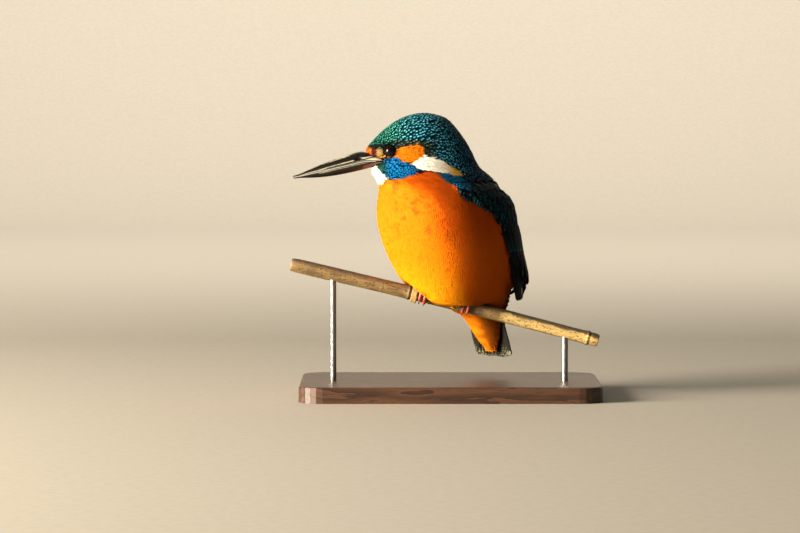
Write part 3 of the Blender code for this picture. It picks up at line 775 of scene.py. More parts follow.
@dataclass(frozen=True)
class VaneFinish(Finish):
    """Feather vane: keratin barbs side by side, which catch light as fine oblique lines.

    The colour runs from the tint at the root to the tip's, with a bright spot near the end.
    """

    relief: float = 0.05
    barbs: float = 9.0  # barbs across half a vane, coarser than life so that they show
    contrast: float = 0.22  # how dark the lines between the barbs are
    swing: float = 0.3  # how much one feather's shade differs from the next
    mark: Triple = (0.79, 0.17, 0.45)  # the spot's middle, half length and half width
    soft: float = 0.35  # how far light falls on the coat as one surface, as down scatters it

    def lines(self, tree: bpy.types.NodeTree, vane: Socket, along: float, across: float) -> Socket:
        """Oblique lines over a vane.

        Args:
            tree: the material's nodes.
            vane: places over it, from side to side and from root to tip.
            along: radians of their wave from root to tip.
            across: radians by which they lag at the edge.
        Returns:
            Values of 0 to 1.
        """
        around = add_node(tree, "VectorMath", (vane,), operation="ABSOLUTE")
        slant = (around, (-across, along, 0.0))
        wave = add_node(tree, "VectorMath", slant, "Value", operation="DOT_PRODUCT")
        wave = add_node(tree, "Math", (wave,), operation="SINE")
        return add_node(tree, "Math", (wave, 0.5, 0.5), operation="MULTIPLY_ADD")

    def paint(self, tree: bpy.types.NodeTree) -> dict[str, Socket]:
        """Draws spot, barbs and shade; see Finish."""
        vane = add_node(tree, "Attribute", output="Vector", attribute_name="vane")
        _, along, chance = add_node(tree, "SeparateXYZ", (vane,)).node.outputs
        tint, tip, spot = (add_node(tree, "Attribute", attribute_name=name) for name in VANE_COLOURS)
        share = add_node(tree, "MapRange", (along, 0.25, 0.95), **SMOOTH)
        colour = add_node(tree, "Mix", {0: share, 6: tint, 7: tip}, 2, **COLOURS)
        middle, long, wide = self.mark
        oval = (vane, (1 / wide, 1 / long, 0.0), (0.0, -middle / long, 0.0))
        oval = add_node(tree, "VectorMath", oval, operation="MULTIPLY_ADD")
        ring = add_node(tree, "VectorMath", (oval, oval), "Value", operation="DOT_PRODUCT")
        mark = add_node(tree, "MapRange", (ring, 0.5, 1.1, 1.0, 0.0), **SMOOTH)
        mark = add_node(tree, "Math", (mark, spot.node.outputs["Alpha"]), operation="MULTIPLY")
        colour = add_node(tree, "Mix", {0: mark, 6: colour, 7: spot}, 2, **COLOURS)
        turns = 2 * math.pi * self.barbs
        lines = self.lines(tree, vane, turns, 0.3 * turns)
        shade = (lines, self.contrast, 1.0 - 0.6 * self.contrast)
        shade = add_node(tree, "Math", shade, operation="MULTIPLY_ADD")
        vary = (chance, self.swing, 1.0 - self.swing / 2)
        vary = add_node(tree, "Math", vary, operation="MULTIPLY_ADD")
        shade = add_node(tree, "Math", (shade, vary), operation="MULTIPLY")
        colour = add_node(tree, "VectorMath", {0: colour, "Scale": shade}, operation="SCALE")
        own = add_node(tree, "NewGeometry", output="Normal")
        lie = add_node(tree, "Attribute", output="Vector", attribute_name="lie")
        facing = add_node(tree, "Mix", {0: self.soft, 4: own, 5: lie}, 1, data_type="VECTOR")
        facing = add_node(tree, "VectorMath", (facing,), operation="NORMALIZE")
        return {"Base Color": colour, "Normal": self.raised(tree, lines, Normal=facing)}


@dataclass(frozen=True)
class TailFinish(VaneFinish):
    """Tail feather: grey-green web with a dark shaft and a frayed, patchy pale tip."""

    def paint(self, tree: bpy.types.NodeTree) -> dict[str, Socket]:
        """Draws web, worn tip and shaft; see Finish."""
        vane = add_node(tree, "Attribute", output="Vector", attribute_name="vane")
        across, along, _ = add_node(tree, "SeparateXYZ", (vane,)).node.outputs
        reach = add_node(tree, "Math", (across,), operation="ABSOLUTE")
        tint, tip, spot = (add_node(tree, "Attribute", attribute_name=name) for name in VANE_COLOURS)
        share = add_node(tree, "MapRange", (reach, 0.05, 0.75), **SMOOTH)
        web = add_node(tree, "Mix", {0: share, 6: tint, 7: tip}, 2, **COLOURS)
        frayed = add_node(tree, "Math", (grain(tree, 0.7), 0.5, along), operation="MULTIPLY_ADD")
        pale = add_node(tree, "MapRange", (frayed, 1.09, 1.22), **SMOOTH)
        pale = add_node(tree, "Math", (pale, spot.node.outputs["Alpha"]), operation="MULTIPLY")
        patches = add_node(tree, "MapRange", (grain(tree, 1.3, 2.0), 0.42, 0.56), **SMOOTH)
        worn = add_node(tree, "Math", (pale, patches), operation="MULTIPLY")
        colour = add_node(tree, "Mix", {0: worn, 6: web, 7: spot}, 2, **COLOURS)
        lines = self.lines(tree, vane, 176.0, 19.8)
        shade = add_node(tree, "Math", (lines, self.contrast, 0.75), operation="MULTIPLY_ADD")
        colour = add_node(tree, "VectorMath", {0: colour, "Scale": shade}, operation="SCALE")
        shaft = add_node(tree, "MapRange", (reach, 0.09, 0.05), **SMOOTH)
        colour = add_node(tree, "Mix", {0: shaft, 6: colour, 7: "#0d0b09"}, 2, **COLOURS)
        return {"Base Color": colour, "Normal": self.raised(tree, lines)}


@dataclass(frozen=True)
class SkinFinish(Finish):
    """Skin under the coat: dull, with the down's colour and a fine grain of pores."""

    def colour(self, tree: bpy.types.NodeTree, pattern: Socket) -> Socket:
        """The plumage's tint, darker in the pores."""
        tint = add_node(tree, "Attribute", output="Color", attribute_name="tint")
        shade = add_node(tree, "Math", (pattern, 0.5, 0.6), operation="MULTIPLY_ADD")
        return add_node(tree, "VectorMath", {0: tint, "Scale": shade}, operation="SCALE")


@dataclass(frozen=True)
class HornFinish(Finish):
    """Bill horn: hard, polished and black, with pale streaks along its edges that are partly paler horn
    and partly painted highlight.

    The piece's "horn" attribute holds paleness, flesh colour and the place along it.
    """

    def colour(self, tree: bpy.types.NodeTree, pattern: Socket) -> Socket:
        """Black horn under its pale streaks, partly paler horn and partly painted highlight, and the
        flesh-coloured base.
        """
        parts = add_node(tree, "Attribute", output="Vector", attribute_name="horn")
        pale, flesh, _ = add_node(tree, "SeparateXYZ", (parts,)).node.outputs
        # worn: the share of the pale streaks, paler horn and painted highlight, from the paleness and the
        # grain.
        worn = add_node(tree, "Math", (pattern, 1.1, pale), operation="MULTIPLY_ADD")
        worn = add_node(tree, "MapRange", (worn, 0.87, 1.47), **SMOOTH)
        horn = {0: worn, 6: shades(tree, pattern, self.stops), 7: "#95927f"}
        horn = add_node(tree, "Mix", horn, 2, **COLOURS)
        flesh = add_node(tree, "Math", (flesh, 0.6), operation="MULTIPLY")
        return add_node(tree, "Mix", {0: flesh, 6: horn, 7: "#7d4f3c"}, 2, **COLOURS)


@dataclass(frozen=True)
class EyeFinish(Finish):
    """Wet cornea over a black pupil and a very dark brown iris.

    The "iris" attribute is the way out from the pupil's middle.
    """

    def colour(self, tree: bpy.types.NodeTree, pattern: Socket) -> Socket:
        """Rings of colour with an uneven edge."""
        place = add_node(tree, "Attribute", output="Fac", attribute_name="iris")
        ring = add_node(tree, "Math", (pattern, 0.1, place), operation="MULTIPLY_ADD")
        return shades(tree, ring, self.stops)


@dataclass(frozen=True)
class ScaleFinish(Finish):
    """Bare foot skin: glossy scutes over coral-red flesh, darker in the creases.

    The "scute" attribute holds the crease and the paleness of each place.
    """

    def colour(self, tree: bpy.types.NodeTree, pattern: Socket) -> Socket:
        """Coral red, paler on the scutes and dark between them."""
        parts = add_node(tree, "Attribute", output="Vector", attribute_name="scute")
        crease, pale, _ = add_node(tree, "SeparateXYZ", (parts,)).node.outputs
        colour = shades(tree, pattern, self.stops)
        for part, most, over in ((pale, 0.6, "#9c4a33"), (crease, 0.75, "#4a0e07")):
            share = add_node(tree, "Math", (part, most), operation="MULTIPLY")
            colour = add_node(tree, "Mix", {0: share, 6: colour, 7: over}, 2, **COLOURS)
        return colour


@dataclass(frozen=True)
class WalnutFinish(Finish):
    """Oiled walnut: open-pored brown wood with long grain, a soft satin shine."""

    def colour(self, tree: bpy.types.NodeTree, pattern: Socket) -> Socket:
        """The rings' browns, dark in the pores."""
        figure = grain(tree, 9.0, 6.0, (9.0, 1.0, 1.0))
        rings = add_node(tree, "Math", (figure, 7.0), operation="MULTIPLY")
        rings = add_node(tree, "Math", (rings,), operation="FRACT")
        pores = add_node(tree, "MapRange", (pattern, 0.58, 0.7, 0.0, 0.7), **SMOOTH)
        wood = {0: pores, 6: shades(tree, rings, self.stops), 7: "#130905"}
        return add_node(tree, "Mix", wood, 2, **COLOURS)


@dataclass(frozen=True)
class ReedFinish(Finish):
    """Dry reed: silica-hard straw skin, weathered grey-brown with specks, fibres lengthwise.

    "straight" holds places on the reed unrolled along X, "torn" where the outer skin has
    peeled and the bright inner straw shows, and "upper" its weathered top.
    """

    top: str = "#4a4034"
    side: str = "#76603a"
    inner: str = "#b09660"

    def paint(self, tree: bpy.types.NodeTree) -> dict[str, Socket]:
        """Draws bark, straw, fibres and specks; see Finish."""
        place = add_node(tree, "Attribute", output="Vector", attribute_name="straight")
        fibres, blotches, specks = (
            grain(tree, size, detail, (longer, 1.0, 1.0), place=place)
            for size, detail, longer in ((0.35, 4.0, 22.0), (2.6, 5.0, 3.0), (0.8, 2.0, 1.5))
        )
        torn, upper = (
            add_node(tree, "Attribute", output="Fac", attribute_name=name) for name in ("torn", "upper")
        )
        bark = add_node(tree, "Mix", {0: upper, 6: self.side, 7: self.top}, 2, **COLOURS)
        share = add_node(tree, "MapRange", (blotches, 0.42, 0.68), **SMOOTH)
        bark = add_node(tree, "Mix", {0: share, 6: bark, 7: "#5c4728"}, 2, **COLOURS)
        share = add_node(tree, "MapRange", (blotches, 0.45, 0.75), **SMOOTH)
        straw = add_node(tree, "Mix", {0: share, 6: self.inner, 7: "#c4a25c"}, 2, **COLOURS)
        colour = add_node(tree, "Mix", {0: torn, 6: bark, 7: straw}, 2, **COLOURS)
        shade = add_node(tree, "Math", (fibres, 1.5, 0.2), operation="MULTIPLY_ADD")
        colour = add_node(tree, "VectorMath", {0: colour, "Scale": shade}, operation="SCALE")
        dots = add_node(tree, "MapRange", (specks, 0.55, 0.63, 0.0, 0.7), **SMOOTH)
        colour = add_node(tree, "Mix", {0: dots, 6: colour, 7: "#25190c"}, 2, **COLOURS)
        height = add_node(tree, "Math", (specks, 0.4, fibres), operation="MULTIPLY_ADD")
        return {"Base Color": colour, "Normal": self.raised(tree, height)}


SKIN = SkinFinish("feathered skin", 0.85, 0.5, relief=0.15, gloss=0.05)
HORN_STOPS = ((0.3, "#080605"), (0.62, "#15100d"), (0.85, "#2d231a"))
HORN = HornFinish(
    "polished bill horn", 0.27, 0.35, HORN_STOPS, 0.06, 5.0, (9.0, 1.0, 1.0), (0.0, -13.5, -13.0),
    ior=1.55, scuff=(0.3, 0.16),
)  # fmt: skip
IRIS_STOPS = ((0.05, "#020202"), (0.47, "#030202"), (0.55, "#0f0603"), (0.85, "#190b05"), (1.0, "#060302"))
EYE = EyeFinish("wet eye", 0.05, 0.18, IRIS_STOPS, ior=1.376)
FOOT = ScaleFinish("coral foot scutes", 0.38, 0.25, ((0.3, "#6d1208"), (0.7, "#8a2613")), 0.05, ior=1.48)
# Claw horn: smooth, dark, slightly translucent brown at the base.
CLAW = Finish("claw horn", 0.3, 0.3, ((0.35, "#17110f"), (0.7, "#4a3330")), 0.03, 4.0, ior=1.55)
REED_STRAW = ReedFinish("weathered reed straw", 0.55, relief=0.18, ior=1.46)
# Torn leaf sheath: papery, pale straw with fine veins.
SHEATH_STOPS = ((0.3, "#6d5427"), (0.55, "#8f7742"), (0.8, "#a8945f"))
SHEATH = Finish(
    "papery leaf sheath", 0.62, 0.3, SHEATH_STOPS, 0.12, stretch=(14.0, 1.0, 1.0), turn=(0.0, 14.0, 0.0),
    ior=1.45,
)  # fmt: skip
WALNUT_STOPS = ((0.0, "#21120a"), (0.5, "#392214"), (1.0, "#482e1c"))
WALNUT = WalnutFinish(
    "oiled walnut", 0.42, 0.35, WALNUT_STOPS, -0.05, 2.0, (16.0, 1.0, 1.0), ior=1.47, scuff=(0.25, 0.3)
)
# Brushed stainless steel: fine scratches round the rod stretch its highlight.
STEEL_STOPS = ((0.3, "#6f7071"), (0.7, "#8f9090"))
STEEL = Finish(
    "brushed stainless steel", 0.32, 0.2, STEEL_STOPS, 0.01, stretch=(12.0, 12.0, 1.0), metallic=1.0,
    scuff=(0.25, 0.2),
)  # fmt: skip
# Matt paper: an even pale sweep whose fibres only just show.
PAPER = Finish("matt studio paper", 0.9, 4.0, ((0.3, "#938f87"), (0.7, "#99958d")), detail=4.0)


# ---------------------------------------------------------------------------------- skin
FLESH = (
    "head", "neck", "breast", "belly", "mantle", "rump", "undertail_coverts",
    "uppertail_coverts", "wing_left", "wing_right", "primaries_left", "primaries_right",
)  # fmt: skip
WINGS = ("wing_left", "wing_right", "primaries_left", "primaries_right")


@lru_cache(maxsize=None)
def tree_of(nodes: tuple[str, ...]) -> BVHTree:
    """A search tree over solids.

    Args:
        nodes: their names.
    Returns:
        The tree.
    """
    corners: list[Vector] = []
    faces: list[tuple[int, ...]] = []
    for node in nodes:
        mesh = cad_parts[node].data
        base = len(corners)
        corners += [v.co.copy() for v in mesh.vertices]
        faces += [tuple(base + i for i in face.vertices) for face in mesh.polygons]
    return BVHTree.FromPolygons(corners, faces)


def nearest(tree: BVHTree, points: np.ndarray) -> tuple[np.ndarray, np.ndarray]:
    """The closest places of a surface.

    Args:
        tree: the surface's search tree.
        points: places in metres, n by 3.
    Returns:
        The closest places (n by 3) and the distances in mm (n).
    """
    found = [tree.find_nearest(Vector(p)) for p in points]
    places = np.array([f[0] for f in found])
    return places, np.array([f[3] for f in found]) / MM


def gap_to(nodes: tuple[str, ...], points: np.ndarray) -> np.ndarray:
    """How far places in metres (n by 3) are from solids, in mm (n)."""
    return nearest(tree_of(nodes), points)[1]


@dataclass
class Eyes:
    """Eyeballs with a cornea, and the lids round them. Their places are the solids'."""

    radius: float = 3.1
    cornea: float = 0.22  # how far the clear front stands out
    shown: float = 50.0  # degrees from the pupil's middle to the lids
    lid: float = 0.34  # the lids' half thickness

    def place(self, side: int) -> tuple[np.ndarray, np.ndarray]:
        """An eye's centre in metres and its outward direction.

        Args:
            side: 1 for the left eye and -1 for the right one.
        Returns:
            The centre and the unit vector.
        """
        low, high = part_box("eye_left" if side > 0 else "eye_right")
        ahead, left = POSE.facing(1.0)
        outward = left * side + ahead * 0.42 + np.array([0.0, 0.0, 0.1])
        return np.array((low + high) / 2), unit(outward)

    def in_sight(self, points: np.ndarray, reach: float) -> np.ndarray:
        """Which places would lie over an eye's open front.

        Args:
            points: places in metres, n by 3.
            reach: how far over the eyeball still counts, in mm.
        Returns:
            True or False for each.
        """
        covered = np.zeros(len(points), bool)
        for side in (1, -1):
            centre, outward = self.place(side)
            spoke = points - centre
            away = np.linalg.norm(spoke, axis=1)
            lean = np.degrees(np.arccos(np.clip(dot(spoke, outward) / away, -1, 1)))
            covered |= (away < (self.radius + reach) * MM) & (lean < self.shown + 3.0)
        return covered

    def eyeball(self, side: int) -> bpy.types.Mesh:
        """A fine sphere with a bulging cornea.

        Args:
            side: 1 or -1.
        Returns:
            The mesh.
        """
        centre, outward = self.place(side)
        turn = Vector(outward).to_track_quat("Z", "Y").to_matrix().to_4x4()
        bm = bmesh.new()
        bmesh.ops.create_uvsphere(
            bm,
            u_segments=48,
            v_segments=40,
            radius=self.radius * MM,
            matrix=Matrix.Translation(Vector(centre)) @ turn,
        )
        mesh = to_mesh(bm, "eyeball")
        points = points_of(mesh)
        spoke = unit(points - centre)
        lean = np.degrees(np.arccos(np.clip(spoke @ outward, -1, 1)))
        points += spoke * (self.cornea * MM * smooth(lean, 44.0, 10.0))[:, None]
        set_points(mesh, points)
        set_attribute(mesh, "iris", lean / self.shown)
        return mesh

    def lids(self, side: int) -> bmesh.types.BMesh:
        """A soft rolled rim round the open eye, lower and thicker above.

        Args:
            side: 1 or -1.
        Returns:
            A closed ring.
        """
        centre, outward = self.place(side)
        up = unit(np.array([0.0, 0.0, 1.0]) - outward * outward[2])
        fore = np.cross(up, outward) * side
        bm = bmesh.new()
        steps, sides = 56, 8
        rings = []
        for k in range(steps):
            turn = 2 * math.pi * k / steps
            toward = fore * math.cos(turn) + up * math.sin(turn)
            lean = math.radians(self.shown + 3.0 - 5.0 * max(0.0, math.sin(turn)) ** 2)
            spoke = outward * math.cos(lean) + toward * math.sin(lean)
            across = outward * -math.sin(lean) + toward * math.cos(lean)
            crinkle = 1.0 + 0.1 * math.sin(turn * 19)
            thick = self.lid * (1.0 + 0.25 * max(0.0, math.sin(turn))) * crinkle
            spot = centre + spoke * (self.radius + 0.16) * MM
            ring = []
            for m in range(sides):
                a = 2 * math.pi * m / sides
                reach = spoke * math.cos(a) * 0.75 + across * math.sin(a) * 1.5
                ring.append(bm.verts.new(Vector(spot + reach * thick * MM)))
            rings.append(ring)
        for ring, following in zip(rings, rings[1:] + rings[:1]):
            for m in range(sides):
                n = (m + 1) % sides
                bm.faces.new((ring[m], ring[n], following[n], following[m]))
        bmesh.ops.recalc_face_normals(bm, faces=bm.faces)
        return bm

    def build(self) -> None:
        """Shows both eyeballs."""
        finish = EYE.build()
        for side, name in ((1, "left"), (-1, "right")):
            show(f"eyeball_{name}", self.eyeball(side), finish, [f"eye_{name}"])


EYES = Eyes()


@dataclass
class Skin:
    """One closed skin for all the flesh, inside the solids by the coat's depth."""

    voxel: float = 0.75
    swell: float = 0.5  # closes the thin cuts between the solids before the skin is drawn
    voxels_smooth: int = 8
    rounds: int = 90  # of smoothing on the trunk
    rim: float = 2.2  # closer than this to the bill, the skin is drawn onto it
    socket: float = 5.4  # and closer than this to an eye's centre, onto the eyeball
    undertail_shift: float = 1.7
    undertail_slim: float = 0.2  # the share of its left half's width that goes
    points: np.ndarray = field(init=False)
    normals: np.ndarray = field(init=False)
    corners: np.ndarray = field(init=False)
    tree: BVHTree = field(init=False)

    def depth(self, points: np.ndarray, wing_gap: np.ndarray) -> np.ndarray:
        """How far the skin lies under the coat's outline.

        Args:
            points: places in metres, n by 3.
            wing_gap: their distances from the wings, in mm.
        Returns:
            Depths in mm.
        """
        forward, _, height = POSE.in_head(points)
        deep = 1.1 + 0.6 * smooth(height, 58.0, 46.0)
        deep = np.where(np.abs(POSE.angle(points)) > 120, 0.9, deep)
        deep -= 0.45 * smooth(height, 62.0, 70.0)
        deep -= 0.2 * smooth(forward, 26.0, 34.0) * smooth(height, 60.0, 66.0)
        deep = np.where(height < 0, np.maximum(0.5, deep - 1.0 * smooth(height, 0.0, -8.0)), deep)
        return deep * smooth(wing_gap, 0.4, 1.6) + 0.12

    def whole(self) -> bpy.types.Mesh:
        """The flesh solids as one closed surface without their cuts."""
        joined = bmesh.new()
        for node in FLESH:
            bm = merged(node)
            for vert in bm.verts:
                vert.co += vert.normal * (self.swell * MM)
            part = to_mesh(bm, node)
            joined.from_mesh(part)
            bpy.data.meshes.remove(part)
        mesh = to_mesh(joined, "skin")
        return evaluated("skin", mesh, "REMESH", mode="VOXEL", voxel_size=self.voxel * MM)

    def largest(self, mesh: bpy.types.Mesh) -> bmesh.types.BMesh:
        """Drops every closed shell but the largest, such as a hollow's inside.

        Args:
            mesh: the remeshed surface.
        Returns:
            The outer shell, smoothed.
        """
        bm = bmesh.new()
        bm.from_mesh(mesh)
        left = set(bm.verts)
        shells = []
        while left:
            front = [left.pop()]
            shell = list(front)
            while front:
                vert = front.pop()
                for edge in vert.link_edges:
                    other = edge.other_vert(vert)
                    if other in left:
                        left.remove(other)
                        front.append(other)
                        shell.append(other)
            shells.append(shell)
        shells.sort(key=len)
        for shell in shells[:-1]:
            bmesh.ops.delete(bm, geom=shell, context="VERTS")
        for _ in range(self.voxels_smooth):
            bmesh.ops.smooth_vert(
                bm, verts=bm.verts, factor=0.5, use_axis_x=True, use_axis_y=True, use_axis_z=True
            )
        bmesh.ops.recalc_face_normals(bm, faces=bm.faces)
        return bm

    def hug(self, points: np.ndarray) -> np.ndarray:
        """Draws the skin's rims onto the eyeballs and the bill, so that no gap is left.

        Args:
            points: places in metres, n by 3.
        Returns:
            The new places.
        """
        for side in (1, -1):
            centre, _ = EYES.place(side)
            spoke = points - centre
            away = np.linalg.norm(spoke, axis=1) / MM
            near = away < self.socket
            rest = EYES.radius + 0.06
            pulled = rest + (away - rest) * smooth(away, 3.2, self.socket)
            points[near] = centre + unit(spoke[near]) * (pulled[near] * MM)[:, None]
        forward, _, height = POSE.in_head(points)
        face = np.flatnonzero((forward > 26.0) & (height > 60.0))
        places, gap = nearest(tree_of(("bill_upper", "bill_lower")), points[face])
        pull = smooth(gap, 0.2, self.rim)[:, None]
        inner = places + (points[face] - places) * pull
        points[face] = np.where((gap < self.rim)[:, None], inner, points[face])
        return points

    def calm(self, mesh: bpy.types.Mesh) -> None:
        """Evens out the trunk, so that light falls over it without bands.

        Args:
            mesh: the skin.
        """
        points = points_of(mesh)
        ends = np.empty(len(mesh.edges) * 2, np.int32)
        mesh.edges.foreach_get("vertices", ends)
        a, b = ends.reshape(-1, 2).T
        height = POSE.height(points)
        share = smooth(height, 3.0, 9.0) * smooth(height, 60.0, 54.0)
        share = (0.5 * share * smooth(np.abs(POSE.angle(points)), 90.0, 70.0))[:, None]
        count = np.bincount(ends, minlength=len(points))[:, None]
        for _ in range(self.rounds):
            total = np.zeros_like(points)
            np.add.at(total, a, points[b])
            np.add.at(total, b, points[a])
            points += share * (total / count - points)
        set_points(mesh, points)

    def slim(self, points: np.ndarray) -> np.ndarray:
        """Draws the undertail in, so that the tail feathers show on both sides of it.

        Args:
            points: places in metres, n by 3.
        Returns:
            The new places.
        """
        low = smooth(POSE.height(points), -3.0, -9.0)
        points[:, 0] += self.undertail_shift * MM * low
        _, left = POSE.facing(0.0)
        wide = (points - np.array(POSE.feet) * MM) @ left
        points -= left * (np.maximum(wide, 0.0) * self.undertail_slim * low)[:, None]
        across = points[:, 0] / MM
        beside = smooth(across, -15.0, -14.0) * smooth(across, -1.0, -2.0)
        lack = np.maximum(0.9 - 0.32 * (across + 10.25) - POSE.height(points), 0.0)
        points[:, 2] += lack * beside * MM
        return points

    def build(self) -> bpy.types.Object:
        """Makes the skin, shows it, and keeps its shape for the coat.

        Returns:
            The piece.
        """
        mesh = to_mesh(self.largest(self.whole()), "skin")
        self.calm(mesh)
        points = points_of(mesh)
        wing_gap = gap_to(WINGS, points)
        shift = self.swell + self.depth(points, wing_gap)
        set_points(mesh, points - points_of(mesh, "normal") * (shift * MM)[:, None])
        set_points(mesh, self.slim(self.hug(points_of(mesh))))
        mesh.calc_loop_triangles()
        self.points = points_of(mesh)
        self.normals = unit(points_of(mesh, "normal"))
        corners = np.zeros(len(mesh.loop_triangles) * 3, np.int32)
        mesh.loop_triangles.foreach_get("vertices", corners)
        self.corners = corners.reshape(-1, 3)
        self.tree = BVHTree.FromPolygons(
            [Vector(p) for p in self.points], [tuple(int(i) for i in c) for c in self.corners]
        )
        bm = bmesh.new()
        bm.from_mesh(mesh)
        for side in (1, -1):
            lids = to_mesh(EYES.lids(side), "lids")
            bm.from_mesh(lids)
            bpy.data.meshes.remove(lids)
        count = len(mesh.vertices)
        mesh = to_mesh(bm, "skin")
        everywhere = points_of(mesh)
        wing_gap = gap_to(WINGS, everywhere)
        tints = MARKS.at(everywhere, wing_gap)["tint"]
        spread = everywhere[count:]
        for side in (1, -1):
            centre, _ = EYES.place(side)
            fore, _ = POSE.facing(1.0)
            spoke = (spread - centre) / MM
            near = np.linalg.norm(spoke, axis=1) < 6
            low = smooth(spoke[:, 2] - 0.35 * (spoke @ fore), -0.6, -2.0)[:, None]
            rim = linear("#050404") * (1 - low) + linear("#15110d") * low
            tints[count:][near] = rim[near]
        set_attribute(mesh, "tint", opaque(tints))
        return show("skin", mesh, SKIN.build(), FLESH)

    def roots(self, rng: np.random.Generator, tries: int) -> tuple[np.ndarray, np.ndarray]:
        """Random places spread evenly over the skin.

        Args:
            rng: the random source.
            tries: how many.
        Returns:
            The places in metres and the outward directions, both tries by 3.
        """
        a, b, c = (self.points[self.corners[:, k]] for k in range(3))
        areas = np.linalg.norm(np.cross(b - a, c - a), axis=1)
        chosen = rng.choice(len(areas), tries, p=areas / areas.sum())
        u, v = rng.random(tries), rng.random(tries)
        flip = u + v > 1
        u[flip], v[flip] = 1 - u[flip], 1 - v[flip]
        shares = np.stack([1 - u - v, u, v], axis=1)[:, :, None]
        picked = self.corners[chosen]
        places = (self.points[picked] * shares).sum(axis=1)
        return places, unit((self.normals[picked] * shares).sum(axis=1))


# ---------------------------------------------------------------------------------- vanes
PATCH = 0.003  # a tuft's patch on the coat's map
QUILL_PATCH = (PATCH * 1.3, PATCH * 8)  # a long feather's
PIECE_TRIANGLES = 150000  # a piece of the coat is full past this many
PART_VANES = 1500  # vanes that join a piece together


@dataclass
class VaneBatch:
    """Many closed, leaf-like vanes, kept as arrays and joined into one mesh."""

    section: tuple[tuple[float, float], ...]  # across and up, as shares of width and thickness
    chunks: list[dict[str, np.ndarray]] = field(default_factory=list)

    def add(
        self,
        line: np.ndarray,
        normals: np.ndarray,
        widths: np.ndarray,
        thickness: np.ndarray,
        colours: dict[str, np.ndarray],
        roots: np.ndarray,
        knots: Sequence[float],
        patch: tuple[float, float] = (PATCH, PATCH),
        lean: float = 0.0,
    ) -> None:
        """Adds vanes that all have the same number of rings.

        Args:
            line: each vane's middle line from root to tip in metres, n by r + 2 by 3.
            normals: the way its upper side faces, like line.
            widths: half widths at the rings in mm, n by r.
            thickness: half thicknesses at the rings in mm, n by r.
            colours: tint, tip and spot of each vane.
            roots: the roots' places on the skin's map, n by 2.
            knots: the rings' places along the vanes, as shares.
            patch: the size of its patch on the map, across and along.
            lean: how far the edges lie below the middle, as a share of the width.
        """
        count, rings = widths.shape
        along = np.gradient(line, axis=1)
        sides = unit(np.cross(normals, along))
        ups = unit(np.cross(along, sides))
        shape = np.array(self.section)
        k = len(shape)
        body = slice(1, rings + 1)
        reach = widths[:, :, None] * shape[:, 0]
        rise = thickness[:, :, None] * shape[:, 1]
        rise -= np.abs(reach) * lean
        ring = line[:, body, None, :] + (
            sides[:, body, None, :] * reach[..., None] + ups[:, body, None, :] * rise[..., None]
        ) * MM
        verts = np.concatenate([line[:, :1], ring.reshape(count, rings * k, 3), line[:, -1:]], axis=1)
        shares = np.asarray(knots)
        across = np.concatenate([[0.0], np.tile(shape[:, 0], rings), [0.0]])
        ahead = np.concatenate([[0.0], np.repeat(shares, k), [1.0]])
        chance = np.random.default_rng(SEED + count).random(count)
        vane = np.empty((count, verts.shape[1], 3))
        vane[..., 0] = across
        vane[..., 1] = ahead
        vane[..., 2] = chance[:, None]
        spread = np.stack([across * 0.5 * patch[0], (ahead - 0.5) * patch[1]], axis=1)
        chunk = {"co": verts, "vane": vane, "uv": roots[:, None, :] + spread[None]}
        ends = (normals[:, :1], np.repeat(normals[:, body], k, axis=1), normals[:, -1:])
        chunk["lie"] = np.concatenate(ends, axis=1)
        for key, values in colours.items():
            full = values if values.shape[1] == 4 else opaque(values)
            chunk[key] = np.repeat(full[:, None, :], verts.shape[1], axis=1)
        self.chunks.append({**chunk, "faces": self.faces(rings, k)})

    @staticmethod
    def faces(rings: int, k: int) -> np.ndarray:
        """One vane's triangles and quads, a triangle's last corner being -1.

        Args:
            rings: how many rings lie between root and tip.
            k: the points of a ring.
        Returns:
            Corner numbers, faces by 4.
        """
        found = []
        last = rings * k + 1
        for j in range(k):
            n = (j + 1) % k
            found.append((0, 1 + n, 1 + j, -1))
            for r in range(rings - 1):
                a, b = 1 + r * k, 1 + (r + 1) * k
                found.append((a + j, a + n, b + n, b + j))
            end = 1 + (rings - 1) * k
            found.append((last, end + j, end + n, -1))
        return np.array(found)

    def mesh(self, name: str) -> bpy.types.Mesh:
        """Joins the vanes.

        Args:
            name: the mesh's name.
        Returns:
            The mesh, with its attributes and its OFBake map.
        """
        corners, totals, base = [], [], 0
        for chunk in self.chunks:
            count, size = chunk["co"].shape[:2]
            faces = chunk["faces"]
            offsets = base + np.arange(count) * size
            full = np.where(faces[None] < 0, -1, faces[None] + offsets[:, None, None]).reshape(-1, 4)
            corners.append(full)
            totals.append(np.where(full[:, 3] < 0, 3, 4))
            base += count * size
        corner, total = np.concatenate(corners), np.concatenate(totals)
        loops = corner.ravel()[corner.ravel() >= 0]
        mesh = bpy.data.meshes.new(name)
        mesh.vertices.add(base)
        mesh.loops.add(len(loops))
        mesh.polygons.add(len(total))
        joined = {
            key: np.concatenate([c[key].reshape(-1, c[key].shape[-1]) for c in self.chunks])
            for key in ("co", "vane", "lie", "uv", *VANE_COLOURS)
        }
        mesh.vertices.foreach_set("co", joined["co"].astype(np.float32).ravel())
        mesh.loops.foreach_set("vertex_index", loops.astype(np.int32))
        starts = np.concatenate([[0], np.cumsum(total)[:-1]])
        mesh.polygons.foreach_set("loop_start", starts.astype(np.int32))
        mesh.update(calc_edges=True)
        for key in ("vane", "lie", *VANE_COLOURS):
            set_attribute(mesh, key, joined[key])
        layer = mesh.uv_layers.new(name="OFBake")
        layer.data.foreach_set("uv", joined["uv"][loops].astype(np.float32).ravel())
        mesh.shade_smooth()
        return mesh

    @property
    def triangles(self) -> int:
        """How many triangles the vanes have."""
        per = [(np.where(c["faces"][:, 3] < 0, 1, 2)).sum() * len(c["co"]) for c in self.chunks]
        return int(sum(per))


